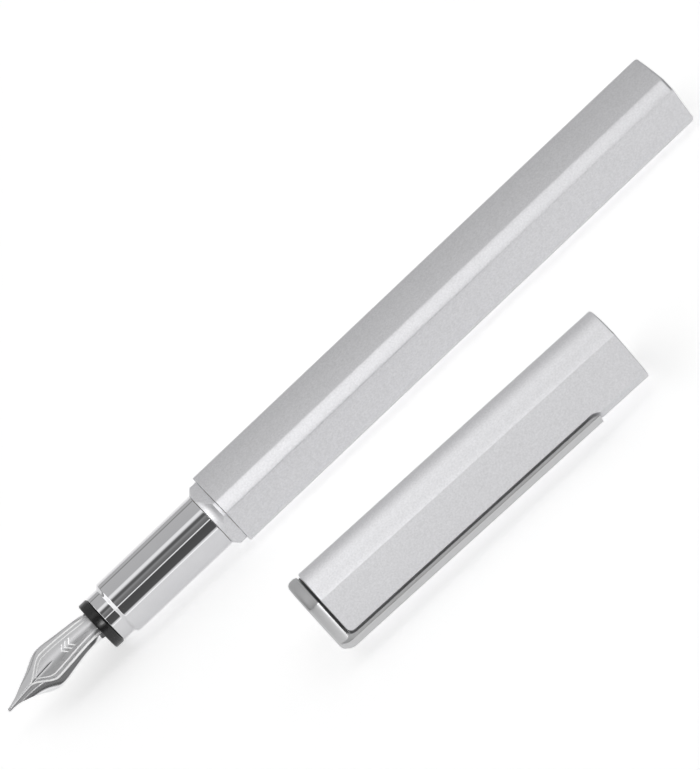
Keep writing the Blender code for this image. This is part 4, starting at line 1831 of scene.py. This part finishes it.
    def plate(self) -> BMesh:
        """Draws the end plate with its rounded outer edge and bevelled inner one.

        Returns:
            The plate.
        """
        sides, (run, fall) = self.sides(), self.plate_bevel
        rows = [sides.ring(self.plate_inner, fall), sides.ring(self.plate_inner - run)]
        centre = (self.plate_outer + self.plate_round, self.plate_round)
        for along, inset in arc(centre, self.plate_round, 270.0, 180.0, self.plate_round_steps):
            rows.append(sides.ring(along, inset))
        return soften(drawn(rows, capped=True), self.fine_edge, self.plate_edge_over)

    def strip(self) -> BMesh:
        """Draws the clip, from its fold out of the plate to its tip.

        Returns:
            The clip.
        """
        fold = (self.plate_outer + self.bend, self.clip_outer - self.bend)
        inside = (self.seat_corner, self.seat_height - self.seat_corner)
        steps, slant = self.clip_steps, self.clip_tip - self.clip_slant
        outer = [(self.plate_outer + self.fold_insets[0], self.fold_height)]
        inner = [(self.plate_inner - self.fold_insets[1], self.fold_height)]
        outer += arc(fold, self.bend, 180.0, 90.0, steps)
        inner += arc(inside, self.clip_inner - inside[1], 180.0, 90.0, steps)
        for step in range(steps + 1):
            along = self.clip_split + (slant - self.clip_split) * step / steps
            outer.append((along, self.clip_outer))
            inner.append((along, self.clip_inner))
        thick = self.clip_outer - self.clip_inner
        for share, rise in self.slant_shares:
            along = slant + self.clip_slant * share
            outer.append((along, self.clip_outer))
            inner.append((along, self.clip_inner + thick * rise))
        rows = [self.clip_ring(high, low) for high, low in zip(outer, inner)]
        return rolled(drawn(rows, capped=True), self.clip_angle)

    def clip_ring(self, high: Pair, low: Pair) -> list[Point]:
        """Gives the clip's section between its outer and inner faces.

        Args:
            high: point on the outer face, as (x, height).
            low: point on the inner face below it.

        Returns:
            Points of a rectangle with rounded corners.
        """
        thick = math.hypot(high[0] - low[0], high[1] - low[1])
        corner = min(self.clip_corner, thick * self.clip_corner_share)
        side, top = self.clip_width / 2 - corner, thick - corner
        centres = ((side, top), (-side, top), (-side, corner), (side, corner))
        ring = []
        for number, centre in enumerate(centres):
            first = 90.0 * number
            for across, height in arc(centre, corner, first, first + 90.0, self.clip_corner_steps):
                share = height / thick
                along = low[0] + (high[0] - low[0]) * share
                ring.append((along, across, low[1] + (high[1] - low[1]) * share))
        return ring

    def spacer(self) -> BMesh:
        """Draws the spacer in the gap between plate and shell, cut flat below the clip.

        Returns:
            The spacer.
        """
        sides, hole = self.sides(), self.screw_radius + SEAM
        front, rear = self.plate_inner + SEAM, -SEAM
        rows = [sides.circle(front, hole), sides.ring(front, self.spacer_inset)]
        rows += [sides.ring(rear, self.spacer_inset), sides.circle(rear, hole)]
        shape = drawn(rows + rows[:1])
        clip = Matrix.Rotation(self.clip_angle, 3, "X") @ Vector((0.0, 0.0, 1.0))
        bmesh.ops.bisect_plane(
            shape,
            geom=shape.verts[:] + shape.edges[:] + shape.faces[:],
            plane_co=clip * self.spacer_reach,
            plane_no=clip,
            clear_outer=True,
        )
        rim = [edge for edge in shape.edges if edge.is_boundary]
        bmesh.ops.edgeloop_fill(shape, edges=rim)
        bmesh.ops.recalc_face_normals(shape, faces=shape.faces)
        return shape

    def screw(self) -> BMesh:
        """Turns the screw that holds the plate.

        Returns:
            The screw.
        """
        start, under = self.plate_inner - self.screw_reach, self.end_wall + SEAM
        top, (run, fall) = under + self.screw_head_length, self.screw_bevel
        profile = [(start, 0.0), (start, self.screw_radius), (under, self.screw_radius)]
        profile += [(under, self.screw_head), (top - run, self.screw_head)]
        profile += [(top, self.screw_head - fall), (top, 0.0)]
        return soften(turned(profile, self.screw_steps, closed=False), self.fine_edge)

    def slot(self) -> BMesh:
        """Makes the slot across the screw's head, for cutting.

        Returns:
            The slot.
        """
        top = self.end_wall + SEAM + self.screw_head_length
        shape = bmesh.new()
        bmesh.ops.create_cube(shape, size=1.0)
        size = (self.screw_head_length, self.screw_head * 3, self.screw_slot)
        bmesh.ops.scale(shape, verts=shape.verts, vec=size)
        bmesh.ops.translate(shape, verts=shape.verts, vec=(top, 0.0, 0.0))
        return shape


@dataclass(frozen=True)
class Softbox:
    """Area light for the pieces that it is set for."""

    name: str
    place: Point
    size: Pair
    radiance: float
    pieces: tuple[str, ...]

    def hang(self, aim: Point) -> None:
        """Hangs the light.

        Args:
            aim: the place that it faces.
        """
        lamp = bpy.data.lights.new(self.name, "AREA")
        lamp.shape = "RECTANGLE"
        lamp.size, lamp.size_y = self.size
        lamp.energy = self.radiance * math.pi * self.size[0] * self.size[1]
        item = bpy.data.objects.new(self.name, lamp)
        item.location = self.place
        facing = Vector(aim) - Vector(self.place)
        item.rotation_euler = facing.to_track_quat("-Z", "Y").to_euler()
        bpy.context.scene.collection.objects.link(item)
        group = bpy.data.collections.new(self.name)
        for piece in self.pieces:
            group.objects.link(bpy.data.objects[piece])
        item.light_linking.receiver_collection = group


@dataclass
class Studio:
    """Floor, lights and camera.

    The room's shades go by the angle in degrees from the front horizon over the top to the back.
    """

    aim: Point = (-17.532 * MM, 0.391 * MM, 4.8 * MM)
    azimuth: float = -0.07
    elevation: float = 0.74015
    roll: float = -0.71152
    distance: float = 650.0 * MM
    focal: float = 4746.281
    sensor: float = 36.0
    floor_size: float = 4.0
    end_span: Pair = (0.6, 0.95)
    end_shade: float = 0.35
    softboxes: tuple[Softbox, ...] = (
        Softbox(
            "front_bank",
            (-0.4, -0.68, 0.76),
            (1.5, 1.1),
            1.8,
            ("barrel_tube", "collar", "cap_tube"),
        ),
        Softbox("top_bank", (-0.4, 0.04, 0.9), (1.5, 0.3), 1.25, ("barrel_tube", "collar")),
        Softbox("cap_bank", (-0.4, 0.28, 0.8), (1.5, 0.66), 1.25, ("cap_tube",)),
        Softbox("nib_bank", (-0.4, -0.68, 0.76), (1.5, 1.1), 0.12, ("nib_blade", "nib_point")),
        Softbox("nib_lamp", (0.7, -0.35, 0.75), (0.5, 0.5), 9.0, ("nib_blade", "nib_point")),
        Softbox("ring_lamp", (-0.016, -0.74, 0.67), (0.12, 0.12), 32.0, ("front_ring",)),
        Softbox("step_lamp", (-1.1, 0.0, 0.5), (1.8, 1.2), 1.2, ("grip",)),
        Softbox("edge_lamp", (0.8, -0.65, 0.15), (0.5, 0.25), 11.0, ("end_plate", "pocket_clip")),
    )
    room: tuple[Pair, ...] = (
        (0.0, 1.5),
        (3.0, 1.5),
        (4.5, 0.9),
        (7.5, 0.9),
        (11.0, 0.12),
        (43.5, 0.1),
        (45.0, 1.5),
        (46.5, 1.5),
        (48.0, 0.2),
        (58.0, 0.25),
        (65.0, 0.36),
        (71.0, 0.14),
        (78.0, 0.16),
        (86.0, 1.2),
        (94.0, 1.2),
        (98.0, 0.64),
        (150.0, 0.66),
        (152.5, 0.25),
        (155.0, 0.25),
        (157.0, 0.62),
        (180.0, 0.6),
    )

    def build(self, paper: Finish) -> None:
        """Builds the floor, lights, world and camera.

        Args:
            paper: finish of the floor.
        """
        self.floor(paper)
        self.world()
        for softbox in self.softboxes:
            softbox.hang(self.aim)
        self.camera()
        bpy.context.scene.view_settings.view_transform = "Standard"

    def floor(self, paper: Finish) -> None:
        """Lays the floor under the pen.

        Args:
            paper: its finish.
        """
        shape = bmesh.new()
        bmesh.ops.create_grid(shape, x_segments=4, y_segments=4, size=self.floor_size / 2)
        mesh = bpy.data.meshes.new("floor")
        shape.to_mesh(mesh)
        shape.free()
        mesh.materials.append(paper.material)
        item = bpy.data.objects.new("floor", mesh)
        bpy.context.scene.collection.objects.link(item)

    def world(self) -> None:
        """Paints the room by its angle round the pen, darker towards the pen's two ends."""
        world = bpy.data.worlds.new("studio")
        world.use_nodes = True
        nodes = Nodes(world.node_tree)
        along, across, up = nodes.split(nodes.node("ShaderNodeTexCoord").outputs["Generated"])
        front = nodes.calc("MULTIPLY", across, -1.0)
        turn = nodes.calc("DIVIDE", nodes.calc("ARCTAN2", up, front), math.pi)
        ramp = nodes.node("ShaderNodeValToRGB")
        stops = ramp.color_ramp.elements
        for _ in self.room[2:]:
            stops.new(0.5)
        for stop, (angle, shade) in zip(stops, self.room):
            stop.position, stop.color = angle / 180.0, (shade, shade, shade, 1.0)
        nodes.link(turn, ramp.inputs["Fac"])
        ends = nodes.calc("ABSOLUTE", along)
        fade = nodes.between(ends, self.end_span, (1.0, self.end_shade), True)
        backdrop = nodes.tree.nodes["Background"]
        nodes.link(ramp.outputs["Color"], backdrop.inputs["Color"])
        nodes.link(fade, backdrop.inputs["Strength"])
        bpy.context.scene.world = world

    def camera(self) -> None:
        """Sets the camera at the photograph's viewing angle."""
        level = math.cos(self.elevation)
        back = Vector(
            (
                math.sin(self.azimuth) * level,
                -math.cos(self.azimuth) * level,
                math.sin(self.elevation),
            )
        )
        right = Vector((math.cos(self.azimuth), math.sin(self.azimuth), 0.0))
        turn = Matrix((right, back.cross(right), back)).transposed()
        turn = turn @ Matrix.Rotation(self.roll, 3, "Z")
        data = bpy.data.cameras.new("camera")
        data.sensor_width = self.sensor
        data.lens = self.focal * self.sensor / max(IMAGE_WIDTH, IMAGE_HEIGHT)
        item = bpy.data.objects.new("camera", data)
        place = Vector(self.aim) + back * self.distance
        item.matrix_world = Matrix.Translation(place) @ turn.to_4x4()
        bpy.context.scene.collection.objects.link(item)
        bpy.context.scene.camera = item


def main() -> None:
    """Builds the dressed pen, its cap and the studio, and reports each piece."""
    logging.basicConfig(level=logging.INFO, format="%(message)s")
    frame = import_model()
    low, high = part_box("barrel")
    pen = Matrix.Translation((0.0, 0.0, (low[2] + high[2]) / 2))
    aluminium, chrome, brass = BlastedAluminium(), PolishedChrome(), TurnedBrass()
    steel, plastic, rubber = SatinSteel(), MouldedPlastic(), SmoothRubber()
    barrel, section, nib_unit, converter = Barrel(pen), Section(pen), NibUnit(pen), Converter(pen)
    cap = Cap.beside_pen(frame["record"]["behaviour"]["joints"])
    barrel.build(aluminium, chrome, rubber)
    section.build(aluminium, chrome, brass, rubber)
    nib_unit.build(NibSteel(), plastic)
    converter.build(plastic, ClearPlastic(), steel, rubber)
    cap.build(aluminium, steel, plastic, brass)
    for assembly in (barrel, section, nib_unit, converter, cap):
        for item in assembly.pieces:
            LOG.info("%s: %d faces", item.name, len(item.data.polygons))
    Studio().build(StudioPaper())


if __name__ == "__main__":
    main()
